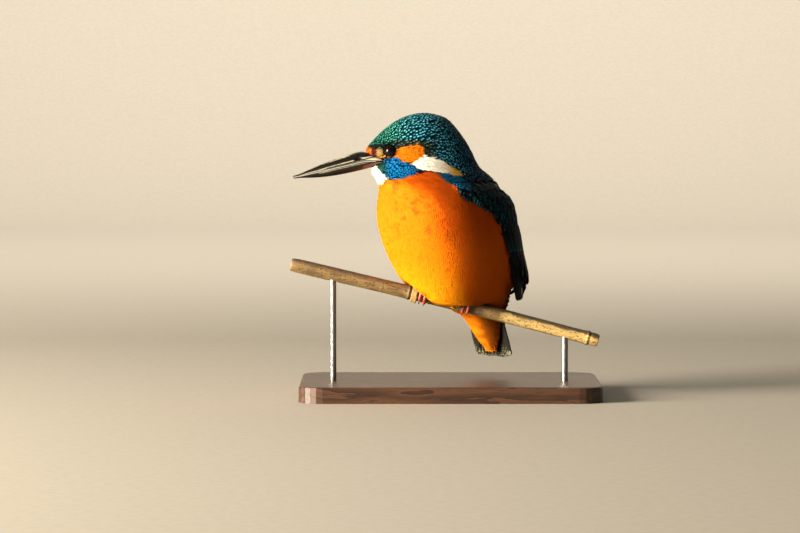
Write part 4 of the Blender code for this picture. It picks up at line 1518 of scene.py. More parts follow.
LEAF = ((1.0, 0.0), (0.0, 1.0), (-1.0, 0.0), (0.0, -0.7))
BLADE = ((1.0, 0.0), (0.5, 0.75), (0.0, 1.0), (-0.5, 0.75), (-1.0, 0.0), (0.0, -0.7))


@dataclass(frozen=True)
class Plume:
    """The small feathers of one tract, in mm."""

    length: float
    half_width: float
    spacing: float
    lobes: int = 1  # loose-webbed feathers are split into lobes
    fan: float = 15.0  # degrees between lobes
    section: tuple[tuple[float, float], ...] = LEAF
    profile: tuple[float, ...] = (0.75, 1.0)  # widths at the rings, as shares
    places: tuple[float, ...] = (0.35, 0.78)  # the rings' places along it
    thickness: float = 0.07
    scatter: float = 7.0  # degrees by which they stray from the lie
    proud: float = 0.15  # mm by which the tips stand over the coat's outline
    lean: float = 0.16
    swell: float = 2.4  # how soon it rises to the coat's outline
    tuck: float = 0.0  # mm by which the very tip sinks among its neighbours


ROUND = {"section": BLADE, "profile": (0.62, 1.0, 0.86), "places": (0.2, 0.6, 0.88), "lean": 0.12}
FINE = {"profile": (1.0, 0.85), "places": (0.3, 0.72), "lean": 0.04, "swell": 7.0, "tuck": 0.14}
PLUMES: dict[Tract, Plume] = {
    Tract.CROWN: Plume(3.6, 1.0, 1.15, thickness=0.07, scatter=5, proud=0.1, **ROUND),
    Tract.LORE: Plume(1.7, 0.22, 0.36, thickness=0.05, scatter=9, proud=0.05, **FINE),
    Tract.CHEEK: Plume(3.2, 0.3, 0.4, thickness=0.05, scatter=7, proud=0.04, **FINE),
    Tract.MALAR: Plume(2.6, 0.6, 0.78, thickness=0.06, scatter=6, proud=0.1, **ROUND),
    Tract.BLAZE: Plume(5.4, 0.36, 0.46, thickness=0.05, scatter=6, proud=0.06, **FINE),
    Tract.THROAT: Plume(3.4, 0.3, 0.42, thickness=0.05, scatter=7, proud=0.04, **FINE),
    Tract.BREAST: Plume(7.8, 0.44, 0.8, lobes=3, fan=8.0, thickness=0.02, scatter=5, proud=0.02, **FINE),
    Tract.MANTLE: Plume(5.2, 1.3, 1.6, thickness=0.08, scatter=6, proud=0.1, **ROUND),
    Tract.BACK: Plume(5.0, 1.15, 1.4, thickness=0.08, scatter=6, proud=0.1, **ROUND),
    Tract.UNDERTAIL: Plume(
        6.6, 0.44, 0.85, lobes=3, fan=8.0, thickness=0.02, scatter=5, proud=0.02, **FINE
    ),
    Tract.WING: Plume(4.6, 1.2, 1.5, thickness=0.08, scatter=4, proud=0.3, **ROUND),
}


@dataclass
class Coat:
    """The small feathers, rooted evenly on the skin and combed along the lie."""

    skin: Skin
    tries: int = 260000
    over_eye: float = 1.0  # no vane lies closer than this over an open eye,
    over_reed: float = 0.35  # to the reed,
    over_toes: float = 0.5  # to the toes,
    over_wings: float = 1.0  # or, below the height that follows, to the wings
    quills_below: float = 29.0

    def room(self, points: np.ndarray) -> np.ndarray:
        """How far places lie above the belly's lower edge beside the left foot, in mm."""
        across = points[:, 0] / MM
        edge = 0.5 - 0.32 * (across + 10.25)
        beside = smooth(across, -18.0, -15.0) * smooth(across, 8.0, 4.0)
        return POSE.height(points) - edge + 100.0 * (1 - beside)

    def size_share(self, points: np.ndarray, tract: np.ndarray) -> np.ndarray:
        """How large the feathers grow at a place, compared with their tract's size.

        Args:
            points: places in metres, n by 3.
            tract: the tracts' numbers.
        Returns:
            Shares of about 0.5 to 1.
        """
        forward, _, height = POSE.in_head(points)
        crown = 1.0 - 0.42 * smooth(forward, 16.0, 34.0)
        breast = 1.0 - 0.4 * smooth(height, 46.0, 62.0)
        breast *= np.clip(self.room(points) / 6.5, 0.25, 1.0)
        share = np.where(tract == Tract.CROWN.value, crown, 1.0)
        return np.where(tract == Tract.BREAST.value, breast, share)

    def spread(self, rng: np.random.Generator) -> tuple[np.ndarray, ...]:
        """Chooses the roots.

        Args:
            rng: the random source.
        Returns:
            The places, normals, tracts and size shares of the feathers that grow.
        """
        places, normals = self.skin.roots(rng, self.tries)
        wing_gap = gap_to(WINGS, places)
        tract = MARKS.at(places, wing_gap)["tract"]
        share = self.size_share(places, tract)
        spacing = np.array([PLUMES[t].spacing if t in PLUMES else 1.0 for t in Tract])[tract] * share
        under_quills = (wing_gap < 0.9) & (POSE.height(places) < 31.0)
        bare = under_quills | EYES.in_sight(places, 0.6)
        search = KDTree(len(places))
        for i, place in enumerate(places):
            search.insert(Vector(place), i)
        search.balance()
        open_place = ~bare
        kept = []
        for i in range(len(places)):
            if open_place[i]:
                kept.append(i)
                for _, other, _ in search.find_range(Vector(places[i]), spacing[i] * MM):
                    open_place[other] = False
        chosen = np.array(kept)
        return places[chosen], normals[chosen], tract[chosen], share[chosen]

    def comb(
        self,
        plume: Plume,
        places: np.ndarray,
        normals: np.ndarray,
        share: np.ndarray,
        rng: np.random.Generator,
    ) -> dict[str, np.ndarray]:
        """Lays one vane from each place.

        Args:
            plume: its sizes.
            places: roots in metres, n by 3.
            normals: the skin's outward directions there.
            share: size shares.
            rng: the random source.
        Returns:
            The vanes' middle lines, normals, widths, thicknesses and root places.
        """
        count = len(places)
        flow = POSE.lie(places, normals)
        wing_gap = gap_to(WINGS, places)
        proud = plume.proud * rng.uniform(0.3, 1.3, count)
        cover = self.skin.depth(places, wing_gap) + proud
        sets: list[dict[str, np.ndarray]] = []
        stray = np.radians(rng.normal(0.0, plume.scatter, count))
        for lobe in range(plume.lobes):
            offset = lobe - (plume.lobes - 1) / 2
            turn = stray + math.radians(plume.fan) * offset
            side = np.cross(normals, flow)
            heading = flow * np.cos(turn)[:, None] + side * np.sin(turn)[:, None]
            start = places + side * (offset * plume.half_width * share * MM)[:, None]
            length = plume.length * share * rng.uniform(0.85, 1.12, count) * (1 - 0.07 * abs(offset))
            knots = np.array([0.0, *plume.places, 1.0])
            middle = start + heading * (length * 0.55 * MM)[:, None]
            found = [self.skin.tree.find_nearest(Vector(p)) for p in middle]
            tip_place = np.array([f[0] for f in found])
            far_normal = unit(np.array([f[1] for f in found]) * 0.6 + normals * 0.4)
            bend = unit(heading - dot(heading, far_normal)[:, None] * far_normal)
            line = np.empty((count, len(knots), 3))
            ups = np.empty_like(line)
            for k, knot in enumerate(knots):
                first = min(knot, 0.55)
                run = heading * (length * first)[:, None] + bend * (length * (knot - first))[:, None]
                up = unit(normals * (1 - knot) + far_normal * knot)
                spot = start + run * MM
                if knot < 0.5:
                    spot -= (middle - tip_place) * (knot / 0.55) ** 2
                    height = cover
                else:
                    spot, _ = nearest(self.skin.tree, spot)
                    wing_gap = gap_to(WINGS, spot)
                    height = self.skin.depth(spot, wing_gap) + proud
                rise = height * (0.1 + 0.9 * (1 - (1 - knot) ** plume.swell)) - plume.tuck * (knot == 1.0)
                line[:, k] = spot + up * (rise * MM)[:, None]
                ups[:, k] = up
            wide = plume.half_width * share * rng.uniform(0.85, 1.15, count)
            sets.append(
                {
                    "line": line,
                    "ups": ups,
                    "widths": wide[:, None] * np.array(plume.profile)[None],
                    "thickness": np.full((count, len(plume.profile)), plume.thickness),
                    "root": start,
                    "far": line[:, -2],
                }
            )
        return {key: np.concatenate([s[key] for s in sets]) for key in sets[0]}

    def clear(self, vanes: dict[str, np.ndarray]) -> np.ndarray:
        """Which vanes stay off the open eyes, the reed and the toes.

        Args:
            vanes: the combed vanes.
        Returns:
            True for those that stay.
        """
        keep = np.ones(len(vanes["line"]), bool)
        for k in range(1, vanes["line"].shape[1]):
            spot = vanes["line"][:, k]
            keep &= ~EYES.in_sight(spot, self.over_eye)
            keep &= ~REED.holds(spot, self.over_reed)
            halfway = (vanes["line"][:, k - 1] + spot) / 2
            keep &= ~REED.holds(halfway, 0.2)
        ends = vanes["line"][:, -1]
        place = REED.straight(ends)
        hanging = (POSE.height(vanes["root"]) > -1.0) & (place[:, 1] > -6.0) & (place[:, 2] < 0.4)
        hanging &= self.room(vanes["root"]) > 50.0
        keep &= ~hanging
        low = POSE.height(vanes["root"]) > -8.0
        keep &= ~(low & (self.room(ends) < -0.8))
        for k in (-3, -2, -1):
            wing_gap = gap_to(WINGS, vanes["line"][:, k])
            beneath = POSE.height(vanes["line"][:, k]) < self.quills_below
            keep &= ~((wing_gap < self.over_wings) & beneath)
        low = np.flatnonzero(POSE.height(vanes["root"]) < 16)
        if len(low):
            toes = tuple(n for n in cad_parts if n.startswith(("toe_", "claw_")))
            for k in (-2, -1):
                gap = gap_to(toes, vanes["line"][low, k])
                keep[low[gap < self.over_toes]] = False
        return keep

    def build(self) -> None:
        """Shows the coat in pieces by tract."""
        rng = np.random.default_rng(SEED)
        places, normals, tract, share = self.spread(rng)
        groups = (
            ("coat_crown", (Tract.CROWN,), "spotted", "blue_green_plumage"),
            ("coat_face", (Tract.LORE, Tract.CHEEK, Tract.MALAR), "silky", "orange_plumage"),
            ("coat_throat", (Tract.BLAZE, Tract.THROAT), "silky", "orange_plumage"),
            ("coat_breast", (Tract.BREAST,), "loose", "orange_plumage"),
            ("coat_back", (Tract.MANTLE, Tract.BACK), "spotted", "blue_green_plumage"),
            ("wing_coverts", (Tract.WING,), "spotted", "blue_green_plumage"),
            ("coat_undertail", (Tract.UNDERTAIL,), "loose", "orange_plumage"),
        )
        for name, tracts, look, slot in groups:
            batches = [VaneBatch(PLUMES[tracts[0]].section)]
            for kind in tracts:
                plume = PLUMES[kind]
                mine = tract == kind.value
                vanes = self.comb(plume, places[mine], normals[mine], share[mine], rng)
                keep = self.clear(vanes)
                vanes = {key: value[keep] for key, value in vanes.items()}
                wing_gap = gap_to(WINGS, vanes["far"])
                if kind is Tract.WING:
                    wing_gap[:] = 0.0
                ahead = 0.35 if plume.section is BLADE else 1.0
                colours = MARKS.at(vanes["root"] * (1 - ahead) + vanes["far"] * ahead, wing_gap)
                if plume.section is BLADE:
                    same = (colours["tract"] == kind.value) | (kind is Tract.WING)
                    vanes = {key: value[same] for key, value in vanes.items()}
                    colours = {key: value[same] for key, value in colours.items()}
                colours["spot"][:, 3] *= rng.uniform(0.3, 1.0, len(vanes["far"]))
                size = len(vanes["line"])
                for part in np.array_split(np.arange(size), max(1, size // PART_VANES)):
                    if batches[-1].triangles > PIECE_TRIANGLES or batches[-1].section != plume.section:
                        batches.append(VaneBatch(plume.section))
                    batches[-1].add(
                        vanes["line"][part],
                        vanes["ups"][part],
                        vanes["widths"][part],
                        vanes["thickness"][part],
                        {key: colours[key][part] for key in VANE_COLOURS},
                        POSE.unwrap(vanes["root"][part]),
                        plume.places,
                        lean=plume.lean,
                    )
            filled = [batch for batch in batches if batch.chunks]
            for number, batch in enumerate(filled, 1):
                title = name if len(filled) == 1 else f"{name}_{number}"
                show(title, batch.mesh(title), LOOKS[look])


# ---------------------------------------------------------------------------------- wings
@dataclass(frozen=True)
class Quills:
    """A fan of long feathers, the first one nearest the breast.

    Heights are in mm over the feet and angles in degrees from the front.
    """

    count: int
    roots: tuple[tuple[float, float], tuple[float, float]]  # the first and last root
    tips: tuple[tuple[float, float], tuple[float, float]]  # the first and last tip
    half_width: float
    lift: float
    base: str
    end: str
    spot: str = "#20606c"
    bold: float = 0.0
    pointed: float = 0.0
    bow: float = 0.0  # how far, in degrees, the middle strays outwards


QUILL_KNOTS = (0.06, 0.2, 0.36, 0.52, 0.66, 0.77, 0.85, 0.91, 0.955, 0.985)


@dataclass
class Wing:
    """A folded wing's long feathers: primaries, secondaries, tertials, greater coverts."""

    side: int
    skin: Skin
    free_below: float = 2.6  # under this height the feathers stand clear of the body
    outside: float = 0.08  # metres from the centre line, beyond all of the body
    steepest: float = 0.0006  # metres by which a free feather may leave it from knot to knot
    step: float = 0.34  # mm by which a fan's last feather lies over its first
    quills: tuple[Quills, ...] = (
        Quills(8, ((27.0, 104.0), (27.0, 130.0)), ((-0.9, 113.5), (1.6, 150.0)), 2.3, 0.12, "#07090b",
               "#16140f", pointed=0.35, bow=-3.0),
        Quills(10, ((34.0, 103.0), (33.0, 152.0)), ((11.5, 120.0), (6.2, 160.0)), 2.3, 0.36, "#06090c",
               "#0e1a20", bow=-3.0),
        Quills(5, ((41.0, 136.0), (41.0, 163.0)), ((15.0, 142.0), (8.0, 163.0)), 2.9, 0.66, "#07141a",
               "#0f2c36", bow=2.0),
        Quills(13, ((38.5, 99.0), (38.0, 161.0)), ((25.0, 106.0), (23.0, 164.0)), 2.1, 0.85, "#070e12",
               "#0d2a33", "#2a8490", 0.35),
    )  # fmt: skip

    def surface(self, height: np.ndarray, angle: np.ndarray) -> tuple[np.ndarray, np.ndarray]:
        """Where rays from outside meet the skin, with hollows along a feather bridged.

        Args:
            height: heights in mm, feathers by knots.
            angle: degrees from the front, unsigned, like height.
        Returns:
            The places in metres and the outward directions.
        """
        centre = POSE.centre(height)
        ahead, left = POSE.facing(POSE.along_line(height, "turn"))
        turn = np.radians(angle * self.side)[..., None]
        out = ahead * np.cos(turn) + left * np.sin(turn)
        reach, normals = [], []
        for middle, ray in zip(centre.reshape(-1, 3), out.reshape(-1, 3)):
            start = Vector(middle + ray * self.outside)
            hit, normal, _, gap = self.skin.tree.ray_cast(start, Vector(-ray))
            reach.append(self.outside - gap if hit is not None and gap < self.outside else 0.0)
            normals.append(normal if hit is not None else Vector(ray))
        reach = np.array(reach).reshape(height.shape)
        normals = np.array(normals).reshape(out.shape)
        for k in range(2, height.shape[1]):
            beyond = (height[:, k] < self.free_below) | (reach[:, k] <= 0)
            slope = np.clip(reach[:, k - 1] - reach[:, k - 2], -self.steepest, self.steepest)
            reach[beyond, k] = (reach[:, k - 1] + slope)[beyond]
            normals[beyond, k] = normals[beyond, k - 1]
        for _ in range(8):
            bridged = (reach[:, :-2] + reach[:, 2:]) / 2
            reach[:, 1:-1] = np.maximum(reach[:, 1:-1], bridged)
        return centre + out * reach[..., None], unit(normals * 0.5 + out * 0.7)

    def lay(self, batch: VaneBatch, fan: Quills, rng: np.random.Generator) -> None:
        """Lays one fan of feathers on the wing.

        Args:
            batch: the vanes that it joins.
            fan: the feathers.
            rng: the random source.
        """
        count = fan.count
        share = np.linspace(0.0, 1.0, count)[:, None]
        knots = np.array([0.0, *QUILL_KNOTS, 1.0])[None]
        ends = [np.array(pair) for pair in (*fan.roots, *fan.tips)]
        root = ends[0] * (1 - share) + ends[1] * share
        tip = ends[2] * (1 - share) + ends[3] * share
        tip[:, 0] += rng.uniform(-0.35, 0.35, count)
        height = root[:, :1] * (1 - knots) + tip[:, :1] * knots
        angle = root[:, 1:] * (1 - knots) + tip[:, 1:] * knots + fan.bow * np.sin(np.pi * knots)
        places, normals = self.surface(height, angle)
        rank = self.step * share
        lift = fan.lift * (0.35 + 0.65 * np.minimum(1, knots * 3)) + rank
        line = places + normals * (lift * MM)[..., None]
        inner = knots[:, 1:-1]
        shoulder = 0.86 - 0.3 * fan.pointed
        closing = np.clip((inner - shoulder) / (1 - shoulder), 0, 1)
        profile = np.clip(0.45 + 2.2 * inner, 0, 1) * np.sqrt(1 - closing**2)
        profile = profile * (1 - 0.45 * fan.pointed * closing)
        widths = np.tile(profile * fan.half_width, (count, 1)) * rng.uniform(0.94, 1.06, (count, 1))
        thick = np.tile(0.17 - 0.07 * inner, (count, 1))
        colour = {
            "tint": np.tile(linear(fan.base), (count, 1)),
            "tip": np.tile(linear(fan.end), (count, 1)),
            "spot": np.tile(np.append(linear(fan.spot), fan.bold), (count, 1)),
        }
        roots = POSE.unwrap(line[:, 0])
        batch.add(line, normals, widths, thick, colour, roots, QUILL_KNOTS, QUILL_PATCH, lean=0.1)

    def build(self, name: str, rng: np.random.Generator) -> None:
        """Shows the wing's long feathers.

        Args:
            name: "left" or "right".
            rng: the random source.
        """
        batch = VaneBatch(BLADE)
        for fan in self.quills:
            self.lay(batch, fan, rng)
        title = f"flight_feathers_{name}"
        show(title, batch.mesh(title), LOOKS["flight"])


@dataclass
class Tail:
    """Twelve overlapping tail feathers, grey-green beneath with worn pale tips."""

    feathers: int = 12
    half_width: float = 12.5
    thickness: float = 1.2
    web: float = 2.2  # a feather's half width
    places: tuple[float, ...] = (
        0.08, 0.2, 0.33, 0.46, 0.58, 0.69, 0.78, 0.86, 0.91, 0.945, 0.97, 0.985, 0.995,
    )  # fmt: skip

    def build(self, rng: np.random.Generator) -> None:
        """Shows the tail.

        Args:
            rng: the random source.
        """
        root = POSE.body(POSE.tail_root[0], 0.0, POSE.tail_root[1])
        tip = POSE.body(POSE.tail_tip[0], 0.0, POSE.tail_tip[1])
        _, left = POSE.facing(0.0)
        along = unit(tip - root)
        back = unit(np.cross(left, along))
        length = np.linalg.norm(tip - root)
        knots = np.array([0.0, *self.places, 1.0])
        inner = knots[1:-1]
        batch = VaneBatch(BLADE)
        for k in range(self.feathers):
            place = (2 * k + 1) / self.feathers - 1
            inmost = 1 - abs(place)
            depth = 0.2 + 0.9 * self.thickness * place**2 - 0.5 * inmost
            reach = length - 1.5 * MM * place**2 - rng.uniform(0.0, 0.5) * MM
            spread = (self.half_width - self.web * 0.75) * (0.9 + 0.1 * knots)
            line = root + along * (knots * reach)[:, None]
            line += left * ((place * spread + 0.9 * knots) * MM)[:, None]
            line -= back * (depth * MM)
            line += back * (np.sin(np.pi * knots) * 0.25 * MM)[:, None]
            face = np.tile(-back, (len(knots), 1))
            closing = np.clip((inner - 0.93) / 0.07, 0.0, 1.0)
            ragged = 1.0 - 0.22 * rng.random(len(inner)) * (inner > 0.8)
            widths = self.web * np.clip(0.7 + inner, 0, 1) * np.sqrt(1 - closing**2) * ragged
            outer = smooth(np.array([abs(place)]), 0.35, 0.75)[0]
            colours = {
                "tint": linear("#0b0b0d")[None] * (1 - outer) + linear("#151610")[None] * outer,
                "tip": linear("#111116")[None] * (1 - outer) + linear("#1e1e17")[None] * outer,
                "spot": np.append(linear("#8a876e"), 0.25 + 0.45 * outer)[None],
            }
            batch.add(
                line[None], face[None], widths[None], np.full((1, len(inner)), 0.2), colours,
                POSE.unwrap(line[None, 0]), self.places, QUILL_PATCH, lean=0.05,
            )  # fmt: skip
        show("tail_feathers", batch.mesh("tail_feathers"), LOOKS["tail"], ["tail"])


# Vane finishes by the way the feathers look; all are keratin.
VANES = {
    "loose": VaneFinish(
        "loose-webbed orange feather", 0.8, gloss=0.06, barbs=3.0, relief=0.02, contrast=0.05, swing=0.1,
        soft=0.93,
    ),
    "silky": VaneFinish(
        "silky face feather", 0.75, gloss=0.05, barbs=3.0, relief=0.02, contrast=0.1, swing=0.2, soft=0.93,
    ),
    "spotted": VaneFinish(
        "structural blue-green feather", 0.5, gloss=0.04, barbs=7.0, mark=(0.77, 0.18, 0.31),
    ),
    "flight": VaneFinish(
        "stiff flight feather", 0.5, gloss=0.06, barbs=40.0, relief=0.03, mark=(0.93, 0.04, 0.5),
    ),
    "tail": TailFinish("worn tail feather", 0.5, gloss=0.12, contrast=0.3),
}  # fmt: skip
LOOKS = {name: finish.build() for name, finish in VANES.items()}


# ------------------------------------------------------------------------- bill and feet
@dataclass
class Bill:
    """The dagger bill: a ridged culmen, nostril slits, sharp cutting edges, a pale gape."""

    length: float = 36.8
    drop: float = 13.5
    base_height: float = 70.9
    base_forward: float = 38.8
    nostril: float = 3.4  # forward of the base

    def axes(self) -> tuple[np.ndarray, np.ndarray, np.ndarray, np.ndarray]:
        """The base's place in metres, and the forward, left and up directions."""
        ahead, left = POSE.facing(1.0)
        drop = math.radians(self.drop)
        forward = ahead * math.cos(drop) - np.array([0.0, 0.0, math.sin(drop)])
        return POSE.head(self.base_forward, 0.0, self.base_height), forward, left, np.cross(forward, left)

    def half(self, upper: bool) -> bpy.types.Mesh:
        """One mandible with its fine forms.

        Args:
            upper: the upper or the lower one.
        Returns:
            The mesh with its "horn" attribute.
        """
        mesh = refined("bill_upper" if upper else "bill_lower", 3)
        points = points_of(mesh)
        base, forward, left, up = self.axes()
        reach = (points - base) / MM
        along, wide, high = reach @ forward, reach @ left, reach @ up
        share = np.clip(along / self.length, 0, 1)
        side = np.sign(wide)
        flank = np.abs(wide)
        pale = np.zeros(len(points))
        if upper:
            slit = smooth(np.abs(along - self.nostril), 2.3, 0.6)
            slit *= smooth(np.abs(high - 1.75 + 0.12 * along), 0.95, 0.25) * smooth(flank, 1.0, 2.2)
            points -= left * (side * slit * 0.75 * MM)[:, None]
            groove = smooth(np.abs(high - 1.5 + 0.03 * along), 0.7, 0.1) * smooth(share, 0.75, 0.1)
            groove *= smooth(flank, 0.6, 1.6)
            points -= left * (side * groove * 0.22 * MM)[:, None]
            ridge = smooth(flank, 0.9, 0.1) * smooth(high, 0.0, 1.0) * (1 - share)
            points += up * (ridge * 0.2 * MM)[:, None]
            level = high / np.maximum(4.35 * (1 - share**1.9), 0.3)
            streak = ripple(np.stack([along * 0.12, level * 2.0, side], axis=1) * MM * 4, 5.0, 31)
            # pale: streaks along the culmen and the cutting edge, partly paler horn and partly painted
            # highlight, with a darker band along the middle.
            pale += 0.55 * smooth(level, 0.72, 0.9) * smooth(share, 1.0, 0.7)
            pale += 0.85 * smooth(level + 0.06 * streak, 0.36, 0.26) * smooth(share, 0.99, 0.9)
            pale -= 0.5 * smooth(np.abs(level - 0.1), 0.1, 0.04) * smooth(share, 0.6, 0.4)
            pale += 0.18 * streak
            pale -= 1.2 * slit
        else:
            edge = -0.9 * np.sqrt(1 - share)
            # pale: the lower mandible's upper edge and a line below it, partly paler horn and partly
            # painted highlight.
            pale += 0.65 * smooth(high - edge, -1.1, -0.6) * smooth(share, 0.8, 0.55)
            pale += 0.25 * smooth(np.abs(high + 3.4 * (1 - share)), 0.5, 0.1) * smooth(share, 0.8, 0.5)
            ramus = smooth(np.abs(high + 2.6 * (1 - share)), 0.8, 0.1) * smooth(share, 0.7, 0.2)
            points -= left * (side * ramus * 0.2 * smooth(flank, 0.5, 1.5) * MM)[:, None]
        flesh = 0.9 * smooth(along, 2.6, 0.6) * smooth(high, -2.2, -3.0) * (not upper)
        set_points(mesh, points)
        set_attribute(mesh, "horn", np.stack([pale, flesh, share], axis=1))
        return mesh

    def build(self) -> None:
        """Shows both mandibles."""
        finish = HORN.build()
        show("upper_mandible", self.half(True), finish, ["bill_upper"])
        show("lower_mandible", self.half(False), finish, ["bill_lower"])


@dataclass
class Reed:
    """The reed: its course under the bird, its joints and its torn outer skin."""

    slope: float = 0.249
    bow: float = 0.00013
    radius: float = 3.5
    half_length: float = 77.0
    joints: tuple[float, float] = (-17.75, 71.5)
    torn_from: float = 27.0  # where the bright strip begins, from the feet

    def straight(self, points: np.ndarray) -> np.ndarray:
        """Places along and round the reed as if it ran along X.

        Args:
            points: places in metres, n by 3.
        Returns:
            Offsets along it, forward reach and lift, in mm, n by 3.
        """
        reach = points / MM - np.array(POSE.feet)
        offset = reach[:, 0]
        for _ in range(3):
            tilt = np.arctan(self.slope + 2 * self.bow * offset)
            lift = (reach[:, 2] + self.slope * offset + self.bow * offset**2) / np.cos(tilt)
            offset = reach[:, 0] - np.sin(tilt) * lift
        return np.stack([offset, -reach[:, 1], lift], axis=1)

    def holds(self, points: np.ndarray, room: float) -> np.ndarray:
        """Which places lie in the reed or closer to it than room, in mm."""
        place = self.straight(points)
        inside = np.hypot(place[:, 1], place[:, 2]) < self.radius + room
        return inside & (np.abs(place[:, 0]) < self.half_length)

    def build(self) -> None:
        """Shows the reed and the torn sheath."""
        mesh = refined("perch_reed", 3)
        points = points_of(mesh)
        place = self.straight(points)
        offset, turn = place[:, 0], np.degrees(np.arctan2(place[:, 1], place[:, 2]))
        outer = smooth(np.hypot(place[:, 1], place[:, 2]), 2.4, 3.1)
        wander = ripple(np.stack([offset * 0.25, turn * 0.0, turn * 0.0], axis=1) * MM * 4, 9.0, 3)
        fine = ripple(np.stack([offset, 0 * turn, 0 * turn], axis=1) * MM, 2.2, 4)
        top = 62.0 + 14.0 * wander + 5.0 * fine
        low = 150.0 + 8.0 * wander
        torn = smooth(turn, top - 4, top + 4) * smooth(turn, low + 5, low - 5)
        torn *= smooth(offset, self.torn_from - 1.0, self.torn_from + 4.0)
        split = smooth(np.abs(turn - 88.0 + 0.5 * (offset - 51.0)), 4.0, 1.0)
        split *= smooth(np.abs(offset - 51.0), 5.0, 2.0)
        ridges = np.sin(np.radians(turn) * 26 + 0.4 * fine)
        out = unit(points - self.axis(points))
        relief = outer * (0.05 * ridges - 0.22 * torn - 0.35 * split)
        for joint in self.joints:
            relief += outer * 0.22 * np.exp(-(((offset - joint) / 0.45) ** 2))
            relief -= outer * 0.16 * np.exp(-(((offset - joint - 1.3) / 0.4) ** 2))
        set_points(mesh, points + out * (relief * MM)[:, None])
        set_attribute(mesh, "straight", place * MM)
        set_attribute(mesh, "torn", np.clip(torn - split, 0, 1))
        upper = smooth(turn + 8 * wander, 78.0, 34.0) * smooth(turn, -120.0, -70.0)
        set_attribute(mesh, "upper", upper)
        show("reed", mesh, REED_STRAW.build(), ["perch_reed"])
        sheath = refined("perch_sheath", 3)
        points = points_of(sheath)
        place = self.straight(points)
        wave = np.sin(np.arctan2(place[:, 1], place[:, 2]) * 7) + np.sin(place[:, 1] * 9)
        flare = smooth(place[:, 0], -14.5, -13.2)
        points += np.array([0.25, 0.0, 0.1]) * (wave * flare * MM)[:, None]
        set_points(sheath, points)
        show("reed_sheath", sheath, SHEATH.build(), ["perch_sheath"])

    def axis(self, points: np.ndarray) -> np.ndarray:
        """The reed's axis beside each place, in metres."""
        place = self.straight(points)
        offset = place[:, 0]
        height = -self.slope * offset - self.bow * offset**2
        feet = np.array(POSE.feet)
        return np.stack([feet[0] + offset, np.full(len(offset), feet[1]), feet[2] + height], axis=1) * MM


REED = Reed()


@dataclass
class Feet:
    """Small coral feet with scutes across the toes, and dark claws."""

    scutes: float = 0.95  # mm from crease to crease
    swell: float = 0.2  # the pads' fullness over the solids

    def build(self) -> None:
        """Shows toes, shanks and claws."""
        skin, claw = FOOT.build(), CLAW.build()
        for node in sorted(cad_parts):
            if node.startswith("claw_"):
                show(node.replace("claw", "talon"), refined(node, 2), claw, [node])
            if node.startswith(("toe_", "shank_")):
                mesh = refined(node, 3)
                points = points_of(mesh)
                place = REED.straight(points)
                around = np.arctan2(place[:, 1], place[:, 2]) * 4.6
                run = around if node.startswith("toe_") else place[:, 2]
                wave = np.abs(np.sin(run / self.scutes * math.pi))
                crease = smooth(wave, 0.42, 0.0)
                outer = smooth(np.hypot(place[:, 1], place[:, 2]), 4.2, 5.2)
                swell = self.swell - 0.12 * crease
                points += points_of(mesh, "normal") * (swell * outer * MM)[:, None]
                set_points(mesh, points)
                pale = outer * (1 - crease) * 0.5
                set_attribute(mesh, "scute", np.stack([crease, pale, outer], axis=1))
                title = node.replace("toe", "scaled_toe").replace("shank", "scaled_shank")
                show(title, mesh, skin, [node])


# -------------------------------------------------------------------------------- studio
@dataclass(frozen=True)
class Lamp:
    """A square soft light: degrees to the right and above, metres, watts, sRGB hex colour."""

    name: str
    azimuth: float
    elevation: float
    size: float
    power: float
    colour: str
    place: Triple | None = None


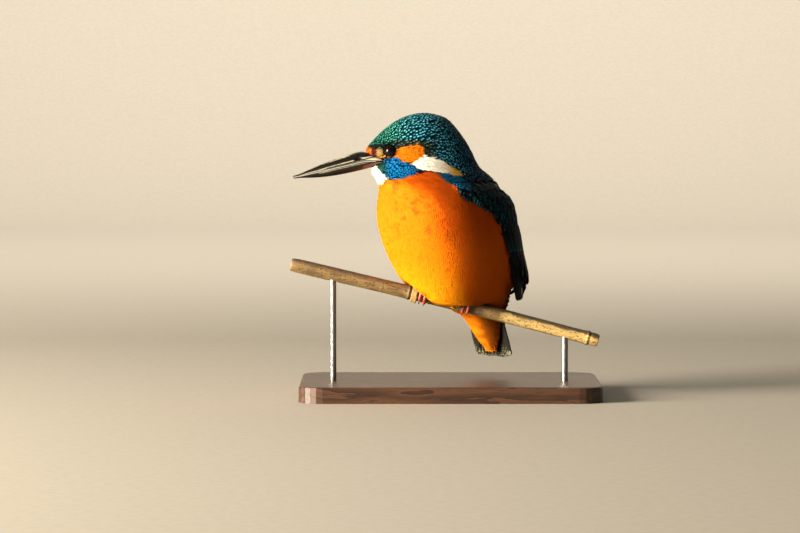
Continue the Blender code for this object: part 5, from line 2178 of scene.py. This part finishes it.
@dataclass
class Studio:
    """The floor, the lights and the camera."""

    target: tuple[float, float, float] = (-0.025, -0.006, 0.06525)
    elevation: float = 3.0
    lens: float = 150.0
    sensor: float = 36.0
    span: float = 0.4  # width seen at the target, in metres
    lamp_gap: float = 1.5  # metres from the target to each lamp without its own place
    air: float = 0.11  # the strength of the light from all round
    lamps: tuple[Lamp, ...] = (
        # The wash falls on the sweep behind the bird, and none of it reaches the bird.
        Lamp("backdrop wash", 0.0, 11.309932, 3.0, 265.0, "#fff4e4", (0.0, 0.9, 2.6)),
        Lamp("key light", -65.0, 10.0, 0.8, 150.0, "#fff0d8"),
        Lamp("low sun", -75.0, 2.5, 0.3, 14.0, "#ffe9c8"),
        Lamp("front fill", -20.0, 20.0, 1.6, 2.2, "#fff4e6"),
        Lamp("back light", 150.0, 40.0, 1.0, 1.5, "#f4efe6"),
    )

    def floor(self) -> None:
        """A pale sweep: flat underfoot, curving up far behind."""
        bm = bmesh.new()
        line = [bm.verts.new((-4.0, -6.0, 0.0)), bm.verts.new((-4.0, 2.0, 0.0))]
        bend = 16
        for k in range(1, bend + 1):
            turn = math.pi / 2 * k / bend
            line.append(bm.verts.new((-4.0, 2.0 + 1.2 * math.sin(turn), 1.2 - 1.2 * math.cos(turn))))
        line.append(bm.verts.new((-4.0, 3.2, 5.0)))
        edges = [bm.edges.new(pair) for pair in zip(line, line[1:])]
        swept = bmesh.ops.extrude_edge_only(bm, edges=edges)
        moved = [v for v in swept["geom"] if isinstance(v, bmesh.types.BMVert)]
        bmesh.ops.translate(bm, verts=moved, vec=(8.0, 0.0, 0.0))
        bmesh.ops.recalc_face_normals(bm, faces=bm.faces)
        mesh = to_mesh(bm, "studio_floor")
        mesh.materials.append(PAPER.build())
        floor = bpy.data.objects.new("studio_floor", mesh)
        bpy.context.scene.collection.objects.link(floor)

    def hang(self, data: bpy.types.ID, place: Vector, away: Vector) -> bpy.types.Object:
        """Puts a lamp or a camera in the studio.

        Args:
            data: the lamp or the camera.
            place: where it hangs, in metres.
            away: the way its back faces.
        Returns:
            The object.
        """
        holder = bpy.data.objects.new(data.name, data)
        holder.location = place
        holder.rotation_euler = away.to_track_quat("Z", "Y").to_euler()
        bpy.context.scene.collection.objects.link(holder)
        return holder

    def light(self, lamp: Lamp) -> None:
        """A square soft light, aimed at the bird unless it has its own place.

        Args:
            lamp: its sizes.
        """
        data = bpy.data.lights.new(lamp.name, "AREA")
        data.size = lamp.size
        data.energy = lamp.power
        data.color = rgba(lamp.colour)[:3]
        turn, rise = math.radians(lamp.azimuth), math.radians(lamp.elevation)
        away = Vector((math.sin(turn) * math.cos(rise), -math.cos(turn) * math.cos(rise), math.sin(rise)))
        self.hang(data, Vector(lamp.place or Vector(self.target) + away * self.lamp_gap), away)

    def camera(self) -> None:
        """The camera, level with the bird and a little above it."""
        data = bpy.data.cameras.new("camera")
        data.lens = self.lens
        data.sensor_width = self.sensor
        data.clip_end = 50.0
        rise = math.radians(self.elevation)
        away = Vector((0.0, -math.cos(rise), math.sin(rise)))
        place = Vector(self.target) + away * (self.span * self.lens / self.sensor)
        bpy.context.scene.camera = self.hang(data, place, away)

    def build(self) -> None:
        """Makes the studio."""
        self.floor()
        self.camera()
        for lamp in self.lamps:
            self.light(lamp)
        world = bpy.data.worlds.new("studio air")
        world.use_nodes = True
        inputs = world.node_tree.nodes["Background"].inputs
        inputs["Color"].default_value = rgba("#f3ece2")
        inputs["Strength"].default_value = self.air
        bpy.context.scene.world = world
        bpy.context.scene.view_settings.view_transform = "Standard"


@dataclass
class Stand:
    """The display stand: an oiled wooden base and two brushed rods, as the solids have them."""

    def build(self) -> None:
        """Gives the stand's solids their finishes."""
        wood, steel = WALNUT.build(), STEEL.build()
        for name, finish in (("stand_base", wood), ("stand_rod_high", steel), ("stand_rod_low", steel)):
            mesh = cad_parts[name].data
            mesh.materials.clear()
            mesh.materials.append(finish)
            log.info("%s: finished", name)


def main() -> None:
    """Builds the studio, the stand and the piece from the skin outwards."""
    logging.basicConfig(level=logging.INFO, format="%(message)s")
    Studio().build()
    Stand().build()
    REED.build()
    Feet().build()
    Bill().build()
    EYES.build()
    skin = Skin()
    skin.build()
    rng = np.random.default_rng(SEED)
    for side, name in ((1, "left"), (-1, "right")):
        Wing(side, skin).build(name, rng)
    Tail().build(rng)
    Coat(skin).build()


if __name__ == "__main__":
    main()
